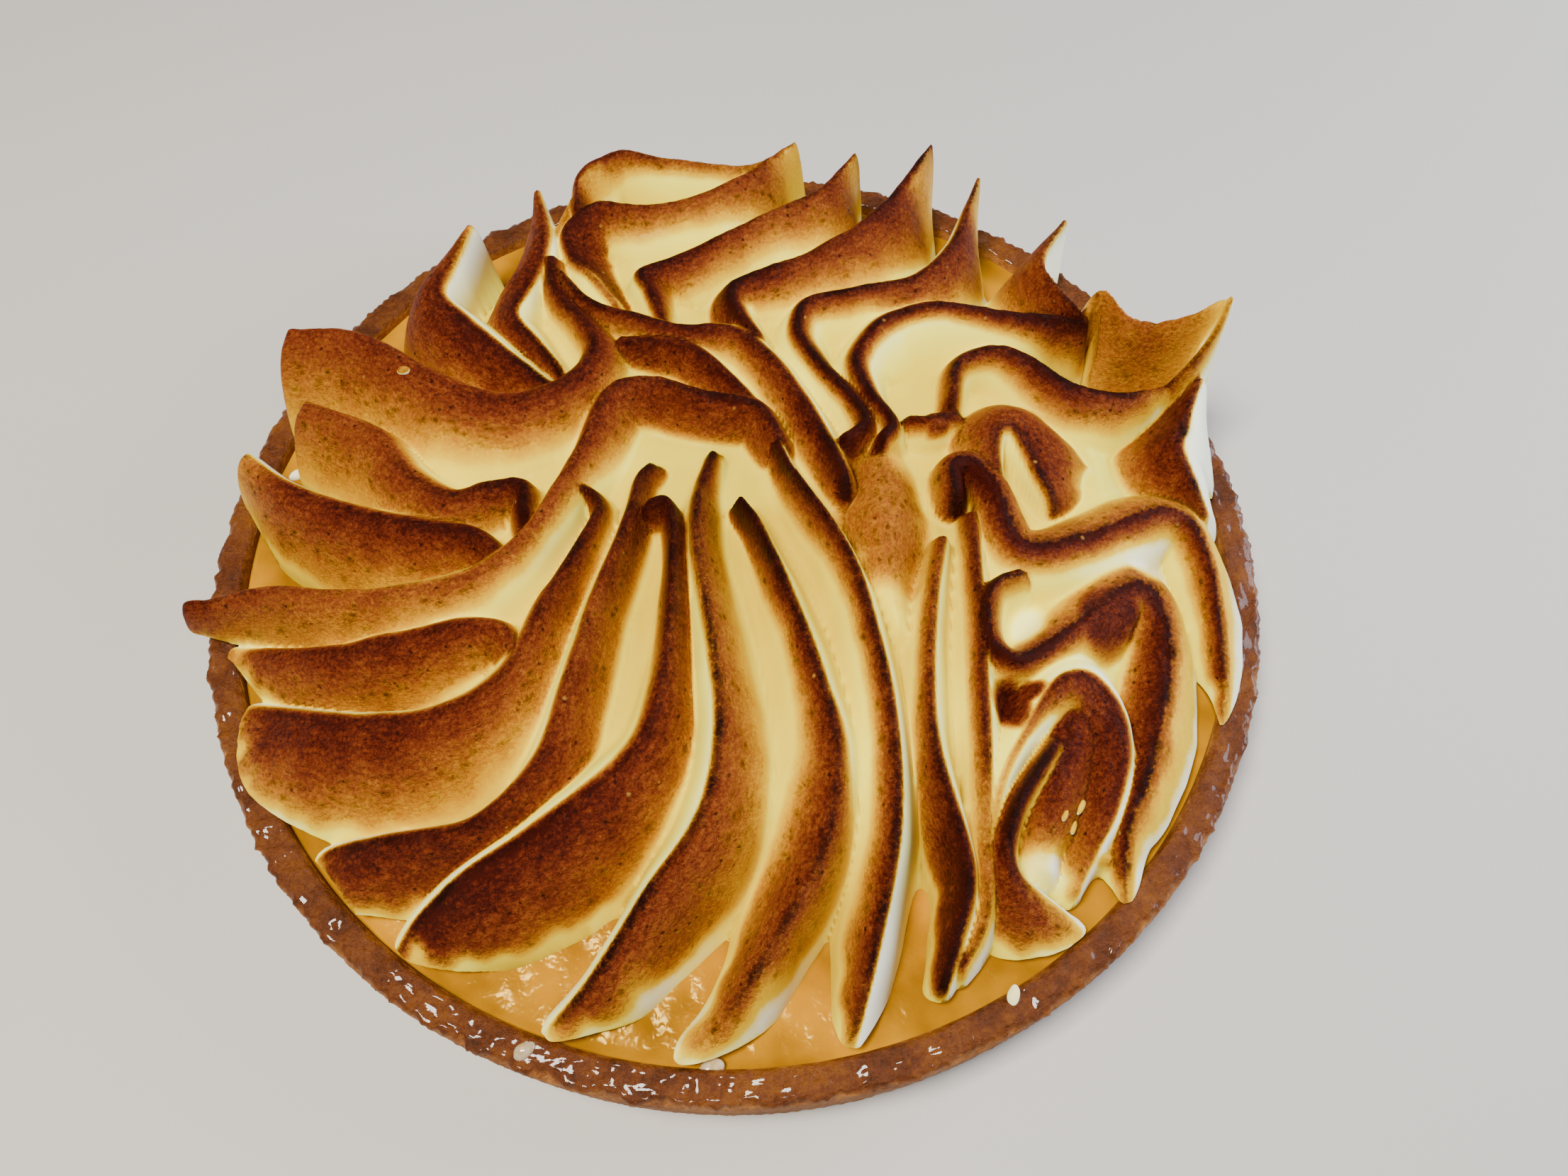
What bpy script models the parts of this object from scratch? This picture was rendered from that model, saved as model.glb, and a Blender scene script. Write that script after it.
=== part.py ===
"""Lemon meringue pie: a straight-sided tart crust, a level lemon curd and swirled meringue.

Lengths are millimetres until MM turns them into metres. The pie stands on its flat
underside at Z = 0 with its middle on the Z axis. +Y runs to the rear of the pie, the side
away from the long front fingers of meringue, and +X runs to its right.

The meringue is one sheet z(x, y). Every fold is a ridge: a smooth crest path with a fall
to its left and to its right. The sheet is the soft maximum of all ridges over a low floor
that drops below the curd near the wall, so the outer ends of the ridges stand as fingers.
A turned tray cuts the underside off, level on the curd and rising clear of the crust.
"""

import bmesh
import bpy
import numpy as np

MM = 0.001

# crust
RADIUS = 100.0          # outer radius at the rim
CRUST_HEIGHT = 20.0     # top of the rim
WALL = 6.0              # wall thickness
BASE = 5.0              # thickness of the bottom
RIM_ROUND = 1.2         # rounding of the rim edges
TAPER = 0.6             # how much narrower the foot is than the rim
FOOT = 1.0              # bevel of the outer foot
BORE_FOOT = 1.5         # bevel at the foot of the bore
BORE_LEAN = 0.5         # how much narrower the bore is just above that bevel
ARC_MID = 0.3           # distance of a round edge's middle point from both faces, as a share

# curd
CURD_DROP = 3.0         # curd surface below the rim
GAP = 0.3               # clearance between neighbouring solids
CURD_EDGE = 1.5         # width of the curd's edge strip, which climbs the wall
CURD_CLIMB = 0.4        # height of that climb

# meringue: levels are measured from the rim plane
DOME = 23.0             # crest level at the middle
DOME_REACH = 97.0       # radius where the front crests come down to the rim
DOME_POWER = 3.2        # fullness of the front crest line
FRONT_STEP = 2.0        # extra fall of the front crests towards the wall
FRONT_STEP_AT = 80.0    # radius where that fall starts
FRONT_STEP_WIDTH = 15.0  # length of that fall
REAR = 20.0             # crest level of the rear petals
REAR_SHARE = 0.3        # share of it that the crown loses outside the wall
REAR_EDGE = 97.0        # radius where it starts to lose it
REAR_WIDTH = 5.0        # length of that loss
TURN_FROM = -0.3        # sine of the bearing where the front arch starts to turn into the crown
TURN_WIDTH = 0.9        # rise of the sine over that turn
FLOOR_HIGH = 11.0       # valley level in the middle
FLOOR_LOW = -7.0        # floor level near the wall, under the curd surface
FLOOR_EDGE = 52.0       # radius where the floor starts to fall
FLOOR_WIDTH = 28.0      # length of that fall
FLOOR_RIGHT = 16.0      # how much further out the floor reaches on the right
RIGHT_BEARING = -8.0    # bearing of the middle of the right side, in degrees from +X
RIGHT_SPREAD = 55.0     # half width of the right side in degrees
FLOOR_REAR = 12.0       # how much further out the floor reaches at the rear
REAR_FROM = 0.2         # sine of the bearing where the rear starts
REAR_SPREAD = 0.6       # rise of the sine over which it takes over
FALL_HOLLOW = (1.1, 1.5)  # inner and outer exponent of a hollow ridge's fall
FALL_PLUMP = (2.2, 0.65)  # the same of a plump ridge
BLEND = 1.3             # softness of the meeting between folds
LEVEL_REF = 30.0        # level above all crests, which keeps the exponentials small
TIP = 4.0               # run-out of a ridge beyond its end
SEAT = 86.0             # radius of the flat seat on the curd
SEAT_WIDTH = 7.0        # width of the step from the seat over the crust's inner edge
SEAT_RISE = 3.4         # height of that step
SEAT_SLOPE = 0.15       # slope of the underside outside it
TRAY_RADIUS = 170.0     # radius of the cutter, wider than the sheet's corners
TRAY_DEPTH = 20.0       # depth of the cutter below Z = 0

SPAN = 107.0            # half width of the modelled sheet
STEP = 1.25             # spacing of the sheet before it is simplified
KEEP = 0.108            # share of the sheet's triangles that is kept
TURNS = 96              # steps of every turned solid
SPLINE_STEPS = 10       # straight pieces between two points of a path

# Ridges: crest path (x, y), widths to its left and right in walking direction,
# fullness of the fall (0 hollow, 1 plump) and lift of the crest above the dome.
# Widths, fullness and lift are spread evenly from the first to the last point.
RIDGES = (
    # left petals, plump on their near side
    (((-34, 58), (-33, 50), (-28, 42), (-25, 35), (-30, 27), (-42, 23), (-55, 29), (-70, 40), (-84, 43)),
     (4, 4, 8, 14, 16, 16, 15), (3, 4, 5, 5, 4, 4, 3), (.4, .5, .8, 1), (0,)),
    (((-37, -2), (-38, 4), (-44, 4), (-51, 3), (-59, 9), (-66, 19), (-80, 27)),
     (4, 6, 9, 12, 12, 10), (3, 4, 5, 4, 3), (.4, .7, .9), (0, -1, -1)),
    (((-42, -9), (-47, -5), (-58, -2), (-70, 3), (-82, 10), (-91, 18)),
     (4, 8, 11, 12, 10, 6), (3, 4, 5, 4, 3), (.4, .8, .9), (-1, 0, 1)),
    (((8.5, 12), (5, 19), (-5, 22), (-14, 26), (-22, 24), (-27, 12), (-34, -4), (-43, -13), (-53, -15.5),
      (-70, -14), (-85, -11), (-99, -10.5)),
     (5, 7, 8, 8, 7, 6, 7, 8, 9, 7, 3), (4, 5, 5, 4, 4, 5, 4, 3, 2), (.4, .3, .5, .8, .9),
     (0, 0, 0, 0, 9)),
    (((-38, -28), (-41, -24), (-48, -23), (-60, -24), (-75, -23), (-93, -17)),
     (4, 8, 10, 11, 9, 5), (3, 4, 5, 4, 3), (.5, .8, .9), (-1, 0, 0)),
    (((-33, -5), (-31, 1), (-27, 3), (-24, -1), (-27, -9), (-33, -20), (-40, -33), (-53, -38),
      (-70, -35.5), (-93, -27)),
     (3, 3, 4, 5, 9, 14, 18, 20, 19, 15), (3, 3, 4, 5, 5, 5, 4, 3), (.2, .3, .5, .8, 1), (-3, -1, 0, 0)),
    # front fingers
    (((-15, 8), (-17, 5), (-19, -5), (-24, -19), (-29, -35), (-34, -48), (-45, -56), (-60, -56.5),
      (-72, -56.5), (-75, -61)),
     (3, 4, 5, 6, 7, 8, 9, 11, 13, 9), (3, 4, 5, 5, 5, 4, 3), (.1, .2, .5, 1), (-2, 0, 0)),
    (((-15, -2), (-12, -2), (-11, -8), (-12, -25), (-15, -42), (-22, -51), (-37, -59.5), (-52, -67),
      (-63, -77)),
     (3, 4, 5, 6, 8, 12, 15, 14, 11, 5), (3, 3, 4, 5, 6, 6, 5, 4, 3), (.1, .2, .5, .9, 1), (-1, 0, 0)),
    (((-3.5, 10), (-6, 2), (-7, -10), (-5, -30), (-4.5, -45), (-8, -58), (-17, -69), (-26, -80),
      (-36, -88)),
     (3, 5, 6, 7, 8, 10, 12, 11, 8, 4), (3, 4, 5, 6, 5, 5, 4, 3), (.1, .2, .5, .9), (-2, 0, 0)),
    (((1, -2), (4, -8), (9, -24), (12.5, -38), (14, -50), (11, -64), (3, -76), (-6, -87), (-15, -93)),
     (3, 4, 5, 5, 5, 6, 6, 6, 4), (2, 4, 7, 9, 11, 11, 9, 6, 4), (.1, .2, .4, .7), (-2, 0, 0)),
    (((8.5, 10), (12, 0), (19, -15), (22, -30), (23.5, -46), (22.5, -62), (18, -78), (13.5, -91)),
     (3, 4, 4, 4, 4, 5, 5, 4), (3, 5, 6, 7, 8, 9, 8, 4), (.1, .2, .3, .6), (0,)),
    (((36, -12), (33, -23), (30.5, -37), (30, -50), (33.5, -68), (31, -78), (28.5, -84)),
     (3, 4, 4, 4, 5, 4, 3), (3, 4, 4, 4, 5, 5, 3), (.2, .3, .6), (-2, 0, 0)),
    (((42, -7), (41, -22), (39.5, -38), (38.5, -52), (37, -66), (36, -75), (31.5, -82)),
     (3, 4, 4, 4, 4, 4, 3), (3, 4, 4, 4, 4, 4, 3), (.2, .3, .5), (-2, -1, -2, -1)),
    (((28, 7), (27, -5), (26, -15), (27, -26)),
     (6, 8, 6, 2), (5, 7, 5, 2), (.7,), (-4, -4, -6)),
    # rolled folds on the right
    (((39.4, -1.5), (39.6, 3), (43.5, 3.8), (46.8, -1), (48, -8), (50, -13), (56, -13.6), (64, -10.6),
      (72, -7.2), (79, -5.5), (84, -8), (86, -16), (86.3, -26), (85.5, -36), (84, -46)),
     (3, 4, 4, 5, 6, 6, 6, 6, 7, 8, 9, 10, 9, 7, 4), (3, 4, 5, 7, 8, 9, 9, 8, 7, 6, 5, 5, 4, 3, 2),
     (.8, .8, .7, .5, .4), (-1, 0, 0, 0, 2, 4, 3, 1)),
    (((48.3, -20), (43.5, -22), (41.6, -27.5), (42.2, -32.5), (45.5, -35), (50, -33), (58.3, -27.5),
      (65, -22.5), (70.5, -20), (74.5, -22.5), (75, -31), (73, -38.5), (70, -46.5), (66, -55), (62, -62),
      (61, -70), (60.5, -77), (59, -83)),
     (3, 4, 4, 4, 5, 6, 6, 6, 7, 8, 10, 11, 11, 10, 8, 6, 4, 3),
     (3, 3, 4, 4, 5, 7, 9, 9, 8, 7, 8, 8, 7, 6, 5, 4, 3, 2), (.4, .6, .6, .6), (0, 0, 0, 0, 0, 1, 2)),
    (((38.5, -64), (39.6, -58), (42, -52.5), (45.5, -47.5), (49.5, -42), (53.5, -38.3), (58.5, -38.3),
      (62, -43), (62.8, -49), (61.3, -54.5), (58.8, -60), (55.5, -65), (52.5, -70)),
     (3, 4, 5, 5, 5, 5, 5, 4, 4, 4, 4, 3, 2), (3, 4, 4, 4, 5, 7, 10, 12, 12, 11, 9, 6, 3),
     (.5, .6, .9, .9, .8), (-3, -2, -1, 0, 0, 0, -1)),
    (((54.5, -44), (52.7, -50), (49.7, -56.5), (47.3, -62), (46.5, -67)),
     (7, 8, 8, 7, 5), (6, 6, 6, 5, 4), (.9,), (-2.5, -2.5, -2, -2, -3)),
    (((50.5, -49), (46.3, -54), (43.2, -58), (41.2, -62), (40.3, -66), (41.3, -69.5), (44.5, -72.3),
      (48.5, -74.7), (53, -77.3), (58.5, -80.8)),
     (3, 4, 4, 4, 4, 4, 4, 3, 3, 2), (3, 3, 4, 5, 7, 10, 12, 11, 8, 3), (.5, .5, .8), (0,)),
    (((53, -69), (55.5, -66.5), (58, -66), (61, -67.5)),
     (3, 3.5, 3), (2, 2.5, 2), (.6,), (-2, -1, -1)),
    (((47.5, 2), (47.8, 6), (49, 10), (52, 11), (54.3, 7), (55.5, 2), (57, -2)),
     (4, 7, 9, 9, 11, 12, 8), (2, 2.5, 3, 3, 2.5, 2.5, 2), (.8, .9), (0, 0, 0, -1, -2)),
    (((91, 22), (87.5, 16), (84.8, 10), (82.5, 5), (84.3, -1), (86.5, -6)),
     (7, 11, 13, 14, 12, 9), (3, 7, 10, 11, 8, 3), (.4, .5, .5, .4), (3, 4, 5, 5, 4)),
    # rear right waves
    (((21, 10.5), (25, 14), (23, 20), (17, 29), (14, 37), (17, 43.5), (27, 45.5), (39, 48), (47, 56),
      (52, 67), (55, 74)),
     (3, 4, 5, 5, 5, 5, 5, 5, 4, 2), (3, 4, 5, 7, 8, 9, 10, 10, 7, 2), (.4, .3, .3, .4), (0,)),
    (((28, 10), (30, 13.5), (26, 22), (25, 30), (32, 38), (42, 40.5), (55, 37.5), (65, 36), (70, 35),
      (66, 44), (64.5, 51), (71, 61)),
     (3, 4, 5, 6, 6, 5, 5, 6, 10, 9, 2), (3, 4, 8, 10, 11, 10, 8, 4, 3, 3, 2), (.4, .3, .3, .5), (0,)),
    (((42, 19), (44, 26), (50, 29), (57, 27), (65, 20.5), (75, 18.5), (86, 22), (92, 26), (94.5, 30)),
     (3, 4, 5, 4, 3, 3, 3, 3, 2), (3, 4, 7, 9, 9, 9, 8, 5, 2), (.4,), (0, 0, 0, 0, 0, 17)),
    (((34, 15), (37, 14), (42, 15.5)),
     (3, 4, 3), (3, 4, 3), (.5,), (-2, -1, -2)),
    (((70, 35), (73, 38.5), (78, 33), (84, 31.5), (90, 30.5), (95, 30)),
     (3, 4, 4, 4, 3), (2, 6, 9, 10, 7, 3), (.3,), (0, 5, 4, 4, 9, 17)),
    # rear petals
    (((6, 36), (3, 41), (1.5, 46), (4, 50), (14, 53.5), (24, 59), (33, 66), (40, 75), (46.5, 85)),
     (3, 5, 5, 5, 5, 5, 5, 5, 2), (4, 6, 8, 11, 13, 13, 12, 9, 2), (.3, .3, .4), (0,)),
    (((-12, 42), (-14.5, 50), (-16, 54), (-10, 56.5), (0, 61), (12, 67.5), (22, 73), (30, 83)),
     (3, 4, 4, 5, 5, 5, 5, 2), (3, 6, 10, 12, 13, 12, 9, 2), (.3, .3, .4), (-2, 0, 0)),
    (((-22, 49), (-29, 58), (-31, 66), (-25, 72), (-14, 70.5), (-3, 73), (8, 79), (17.5, 87)),
     (3, 4, 5, 5, 5, 5, 5, 2), (4, 9, 9, 11, 12, 10, 7, 2), (.3, .3, .4), (-3, -1, 0, 0, 0)),
    (((-29, 72), (-28, 81), (-20, 86.5), (-10, 83.5), (3, 80.5), (12, 82)),
     (4, 7, 8, 7, 3), (3, 8, 11, 11, 7, 2), (.3, .4, .4), (0,)),
    (((20, 3), (17.5, 11), (13, 22), (8, 31), (2, 37), (-8, 38.5), (-18, 42), (-27, 47), (-33, 55)),
     (4, 6, 7, 7, 7, 7, 6, 5, 2), (3, 5, 5, 5, 5, 4, 4, 3, 2), (.4, .3, .3), (-1, 0, 0)),
    (((4.5, 21), (1, 26), (-4, 32), (-10, 36), (-20, 37.5)),
     (4, 6, 6, 5, 3), (3, 4, 4, 4, 3), (.3,), (-2, -1, -2)),
    (((-22, 48), (-26, 53), (-30, 58)),
     (3, 4, 3), (3, 4, 3), (.3,), (-2, -1, -2)),
    # upright petals on the rear left
    (((-33.5, 27), (-41, 34), (-50, 42.5), (-56, 50), (-54, 58), (-50.5, 67)),
     (3, 8, 12, 13, 10, 3), (3, 4, 5, 5, 4, 2), (.4, .7, .7), (-2, 0, 0)),
    (((-33, 33), (-37, 39), (-41, 44.5), (-39.5, 50.5), (-36.5, 58), (-35.5, 66), (-37, 76)),
     (3, 5, 8, 9, 9, 8, 3), (3, 4, 5, 5, 5, 4, 2), (.4, .6, .6), (-3, -1, 0)),
    (((-35, 60), (-33, 68), (-30, 75)),
     (3, 3, 2), (3, 3, 2), (.4,), (-4, -3, -1)),
)


def ease(share):
    """Smooth step of a share, 0 below 0 and 1 above 1."""
    share = np.clip(share, 0.0, 1.0)
    return share * share * (3.0 - 2.0 * share)


def dome(x, y):
    """Crest level over the rim plane: a front arch that turns into a flat rear crown."""
    radius = np.hypot(x, y)
    rear = ease((y / np.maximum(radius, 1e-6) - TURN_FROM) / TURN_WIDTH)
    arch = DOME * (1.0 - np.clip(radius / DOME_REACH, 0.0, 1.0) ** DOME_POWER)
    arch = arch - FRONT_STEP * ease((radius - FRONT_STEP_AT) / FRONT_STEP_WIDTH)
    crown = REAR * (1.0 - REAR_SHARE * ease((radius - REAR_EDGE) / REAR_WIDTH))
    return arch * (1.0 - rear) + crown * rear


def floor_level(x, y):
    """Valley level over the rim plane; it reaches further out on the right and the rear."""
    radius = np.hypot(x, y)
    bearing = np.degrees(np.arctan2(y, x))
    right = ease(1.0 - np.abs(bearing - RIGHT_BEARING) / RIGHT_SPREAD)
    rear = ease((np.sin(np.radians(bearing)) - REAR_FROM) / REAR_SPREAD)
    edge = FLOOR_EDGE + FLOOR_RIGHT * right + FLOOR_REAR * rear
    return FLOOR_HIGH + (FLOOR_LOW - FLOOR_HIGH) * ease((radius - edge) / FLOOR_WIDTH)


def smooth_path(points):
    """Catmull-Rom curve through the points of a crest path."""
    p = np.asarray(points, float)
    p = np.vstack([2 * p[0] - p[1], p, 2 * p[-1] - p[-2]])
    u = np.linspace(0.0, 1.0, SPLINE_STEPS, endpoint=False)[:, None]
    pieces = []
    for a, b, c, d in zip(p[:-3], p[1:-2], p[2:-1], p[3:]):
        bend = (2 * a - 5 * b + 4 * c - d) * u**2 + (-a + 3 * b - 3 * c + d) * u**3
        pieces.append(0.5 * (2 * b + (c - a) * u + bend))
    pieces.append(p[-2][None])
    return np.vstack(pieces)


def spread(values, share):
    """Values spaced evenly over 0..1, read at each share."""
    return np.interp(share, np.linspace(0.0, 1.0, len(values)), values)


def along_path(curve, x, y):
    """Share along the curve, signed distance (left positive) and overrun past its ends."""
    runs = np.diff(curve, axis=0)
    lengths = np.hypot(runs[:, 0], runs[:, 1])
    starts = np.concatenate([[0.0], np.cumsum(lengths)])
    nearest = np.full(len(x), np.inf)
    share = np.zeros(len(x))
    side = np.zeros(len(x))
    over = np.zeros(len(x))
    for i, ((ax, ay), (dx, dy), length) in enumerate(zip(curve[:-1], runs, lengths)):
        raw = ((x - ax) * dx + (y - ay) * dy) / length**2
        k = np.clip(raw, 0.0, 1.0)
        distance = np.hypot(x - ax - k * dx, y - ay - k * dy)
        across = (dx * (y - ay) - dy * (x - ax)) / length
        past = np.zeros(len(x))
        if i == 0:
            past = np.maximum(past, -raw * length)
        if i == len(lengths) - 1:
            past = np.maximum(past, (raw - 1.0) * length)
        closer = distance < nearest
        nearest = np.where(closer, distance, nearest)
        share = np.where(closer, (starts[i] + k * length) / starts[-1], share)
        side = np.where(closer, np.where(past > 0.0, across, np.sign(across) * distance), side)
        over = np.where(closer, past, over)
    return share, side, over, starts / starts[-1]


def meringue_level(x, y):
    """Level of the meringue sheet over the rim plane: the soft maximum of floor and ridges.

    A ridge falls from its crest to the floor as (1 - u^p)^q, where u is the distance from
    the crest as a share of its width, and p and q run from FALL_HOLLOW to FALL_PLUMP with
    its fullness.
    """
    base = floor_level(x, y)
    total = np.exp((base - LEVEL_REF) / BLEND)
    for points, left, right, fullness, lift in RIDGES:
        curve = smooth_path(points)
        reach = max(left + right) + TIP
        low = curve.min(axis=0) - reach
        high = curve.max(axis=0) + reach
        near = np.nonzero((x > low[0]) & (x < high[0]) & (y > low[1]) & (y < high[1]))[0]
        share, side, over, marks = along_path(curve, x[near], y[near])
        crest_x = np.interp(share, marks, curve[:, 0])
        crest_y = np.interp(share, marks, curve[:, 1])
        crest = dome(crest_x, crest_y) + spread(lift, share)
        width = np.where(side >= 0.0, spread(left, share), spread(right, share))
        inner, outer = (spread(ends, spread(fullness, share)) for ends in zip(FALL_HOLLOW, FALL_PLUMP))
        fall = np.clip(np.hypot(side / width, over / TIP), 0.0, 1.0)
        shape = (1.0 - fall**inner) ** outer
        level = base[near] + (crest - base[near]) * shape
        total[near] += np.exp((level - LEVEL_REF) / BLEND)
    return LEVEL_REF + BLEND * np.log(total)


def material(name, colour, roughness):
    """Plain Principled material."""
    mat = bpy.data.materials.new(name)
    mat.use_nodes = True
    shader = mat.node_tree.nodes["Principled BSDF"]
    shader.inputs["Base Color"].default_value = (*colour, 1.0)
    shader.inputs["Roughness"].default_value = roughness
    mat.diffuse_color = (*colour, 1.0)
    return mat


def add_object(name, mesh, collection):
    """Link a mesh object into a collection."""
    obj = bpy.data.objects.new(name, mesh)
    collection.objects.link(obj)
    return obj


def turned(name, profile, collection):
    """Solid of revolution about Z from a profile that runs top to bottom on its outer side."""
    mesh = bpy.data.meshes.new(name)
    verts = [(x * MM, 0.0, z * MM) for x, z in profile]
    mesh.from_pydata(verts, [(i, i + 1) for i in range(len(verts) - 1)], [])
    obj = add_object(name, mesh, collection)
    screw = obj.modifiers.new("turn", "SCREW")
    screw.axis = "Z"
    screw.steps = TURNS
    screw.render_steps = TURNS
    screw.use_merge_vertices = True
    screw.merge_threshold = 0.00001
    return obj


def block_mesh(name):
    """Closed block: a flat grid lifted to the meringue sheet, with walls down to Z = 0."""
    cells = int(2 * SPAN / STEP)
    bm = bmesh.new()
    bmesh.ops.create_grid(bm, x_segments=cells, y_segments=cells, size=SPAN * MM)
    x, y = np.array([vert.co.xy for vert in bm.verts]).T / MM
    for vert, level in zip(bm.verts, meringue_level(x, y)):
        vert.co.z = (CRUST_HEIGHT + level) * MM
    rim = [edge for edge in bm.edges if edge.is_boundary]
    skirt = bmesh.ops.extrude_edge_only(bm, edges=rim)
    lower = [v for v in skirt["geom"] if isinstance(v, bmesh.types.BMVert)]
    for vert in lower:
        vert.co.z = 0.0
    bmesh.ops.contextual_create(bm, geom=lower)
    bmesh.ops.recalc_face_normals(bm, faces=bm.faces)
    mesh = bpy.data.meshes.new(name)
    bm.to_mesh(mesh)
    bm.free()
    return mesh


def underside():
    """Profile of the tray that cuts the underside of the meringue."""
    seat = CRUST_HEIGHT - CURD_DROP + GAP
    profile = [(0.0, seat), (SEAT, seat)]
    for share in (0.25, 0.5, 0.75, 1.0):
        profile.append((SEAT + SEAT_WIDTH * share, seat + SEAT_RISE * float(ease(share))))
    edge_x, edge_z = profile[-1]
    profile.append((RADIUS, edge_z + (RADIUS - edge_x) * SEAT_SLOPE))
    profile.append((TRAY_RADIUS, edge_z + (TRAY_RADIUS - edge_x) * SEAT_SLOPE))
    profile += [(TRAY_RADIUS, -TRAY_DEPTH), (0.0, -TRAY_DEPTH)]
    return profile


def crust_profile():
    """Section of the crust shell: centre of the bore, over the rim, down the outer wall."""
    inner = RADIUS - WALL
    top = CRUST_HEIGHT
    mid = ARC_MID * RIM_ROUND
    return [
        (0.0, BASE), (inner - BORE_FOOT, BASE), (inner - BORE_LEAN, BASE + BORE_FOOT),
        (inner, top - RIM_ROUND), (inner + mid, top - mid), (inner + RIM_ROUND, top),
        (RADIUS - RIM_ROUND, top), (RADIUS - mid, top - mid), (RADIUS, top - RIM_ROUND),
        (RADIUS - TAPER, FOOT), (RADIUS - TAPER - FOOT, 0.0), (0.0, 0.0),
    ]


def curd_profile():
    """Section of the curd: a disc that follows the bore of the crust with a small gap."""
    inner = RADIUS - WALL - GAP
    top = CRUST_HEIGHT - CURD_DROP
    return [
        (0.0, top), (inner - CURD_EDGE, top), (inner, top + CURD_CLIMB),
        (inner - BORE_LEAN, BASE + BORE_FOOT + GAP), (inner - BORE_FOOT, BASE + GAP), (0.0, BASE + GAP),
    ]


def build():
    """Make the three solids of the pie."""
    for obj in list(bpy.data.objects):
        bpy.data.objects.remove(obj)
    scene = bpy.context.scene.collection
    pie = bpy.data.collections.new("lemon_meringue_pie")
    cutters = bpy.data.collections.new("cutters")
    scene.children.link(pie)
    scene.children.link(cutters)

    crust = turned("crust", crust_profile(), pie)
    crust.data.materials.append(material("baked_crust", (0.39, 0.13, 0.035), 0.35))

    curd = turned("lemon_curd", curd_profile(), pie)
    curd.data.materials.append(material("lemon_curd", (0.72, 0.36, 0.03), 0.2))

    tray = turned("tray", underside(), cutters)
    tray.hide_render = True
    tray.display_type = "WIRE"

    meringue = add_object("meringue", block_mesh("meringue"), pie)
    meringue.data.materials.append(material("toasted_meringue", (0.86, 0.68, 0.36), 0.5))
    simplify = meringue.modifiers.new("simplify", "DECIMATE")
    simplify.ratio = KEEP
    cut = meringue.modifiers.new("underside", "BOOLEAN")
    cut.operation = "DIFFERENCE"
    cut.solver = "EXACT"
    cut.object = tray


build()
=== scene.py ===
"""Lemon meringue pie: the finished surfaces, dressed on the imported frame.

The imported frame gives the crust, the curd and the meringue as plain solids. Here each of
them is replaced by a fine surface of the same form: a pastry case with a ragged, glazed
rim, a level curd with a rippled skin and one swirled meringue whose folds are torched
along their crests. Lengths are millimetres until MM turns them into metres. Levels of the
meringue are counted from the plane of the rim.
"""

import logging
import math
from collections.abc import Callable
from dataclasses import dataclass
from enum import Enum

import bpy
import numpy as np
from mathutils import Matrix, Vector

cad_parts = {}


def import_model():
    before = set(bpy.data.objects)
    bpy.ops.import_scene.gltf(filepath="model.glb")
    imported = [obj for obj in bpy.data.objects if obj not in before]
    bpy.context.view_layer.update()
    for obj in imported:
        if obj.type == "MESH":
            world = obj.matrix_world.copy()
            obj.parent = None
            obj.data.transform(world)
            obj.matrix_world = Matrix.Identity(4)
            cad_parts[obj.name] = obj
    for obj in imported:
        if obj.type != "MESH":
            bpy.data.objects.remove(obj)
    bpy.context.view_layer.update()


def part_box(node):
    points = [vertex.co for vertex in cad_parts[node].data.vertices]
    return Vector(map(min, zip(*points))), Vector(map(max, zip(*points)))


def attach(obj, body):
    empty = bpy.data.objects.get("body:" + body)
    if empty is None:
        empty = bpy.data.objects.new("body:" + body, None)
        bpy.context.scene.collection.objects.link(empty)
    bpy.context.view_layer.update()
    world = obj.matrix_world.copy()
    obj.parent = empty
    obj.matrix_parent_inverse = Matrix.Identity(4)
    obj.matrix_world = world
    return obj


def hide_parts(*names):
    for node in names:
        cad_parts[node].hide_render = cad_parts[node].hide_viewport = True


MM = 0.001
BODY = "root"
LOG = logging.getLogger("pie")


# ---------------------------------------------------------------------------
# shared numbers and small tools
# ---------------------------------------------------------------------------

def ease(share: np.ndarray) -> np.ndarray:
    """Smooth step: 3 s squared minus 2 s cubed, held at 0 below 0 and at 1 above 1."""
    share = np.clip(share, 0.0, 1.0)
    return share * share * (3.0 - 2.0 * share)


def spread(values: tuple, share: np.ndarray) -> np.ndarray:
    """Values spaced evenly over 0..1, read at each share by straight lines."""
    return np.interp(share, np.linspace(0.0, 1.0, len(values)), values)


def swell(x: np.ndarray, y: np.ndarray, size: float, seed: int, z: np.ndarray | float = 0.0,
          count: int = 18) -> np.ndarray:
    """Soft random relief: the mean of plane waves in random directions.

    Args:
        x: First coordinate of every point, in millimetres.
        y: Second coordinate of every point, in millimetres.
        size: Usual distance between two crests, in millimetres.
        seed: Seed of the directions, wave lengths and phases.
        z: Third coordinate, where the relief also changes with height.
        count: Number of waves.

    Returns:
        A value of about -1 to 1 for every point.
    """
    dice = np.random.default_rng(seed)
    turn = dice.uniform(0.0, 2.0 * math.pi, count)
    pitch = 2.0 * math.pi / (size * dice.uniform(0.7, 1.6, count))
    phase = dice.uniform(0.0, 2.0 * math.pi, count)
    lean = dice.uniform(-1.0, 1.0, count)
    total = np.zeros(np.shape(x))
    for angle, rate, start, rise in zip(turn, pitch, phase, lean):
        total += np.sin(rate * (x * math.cos(angle) + y * math.sin(angle) + z * rise) + start)
    return total / math.sqrt(count) * 0.8


def linear(code: str) -> tuple:
    """An sRGB hex colour as linear red, green, blue and alpha."""
    parts = [int(code[i:i + 2], 16) / 255.0 for i in (1, 3, 5)]
    light = [c / 12.92 if c <= 0.04045 else ((c + 0.055) / 1.055) ** 2.4 for c in parts]
    return (*light, 1.0)


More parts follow.
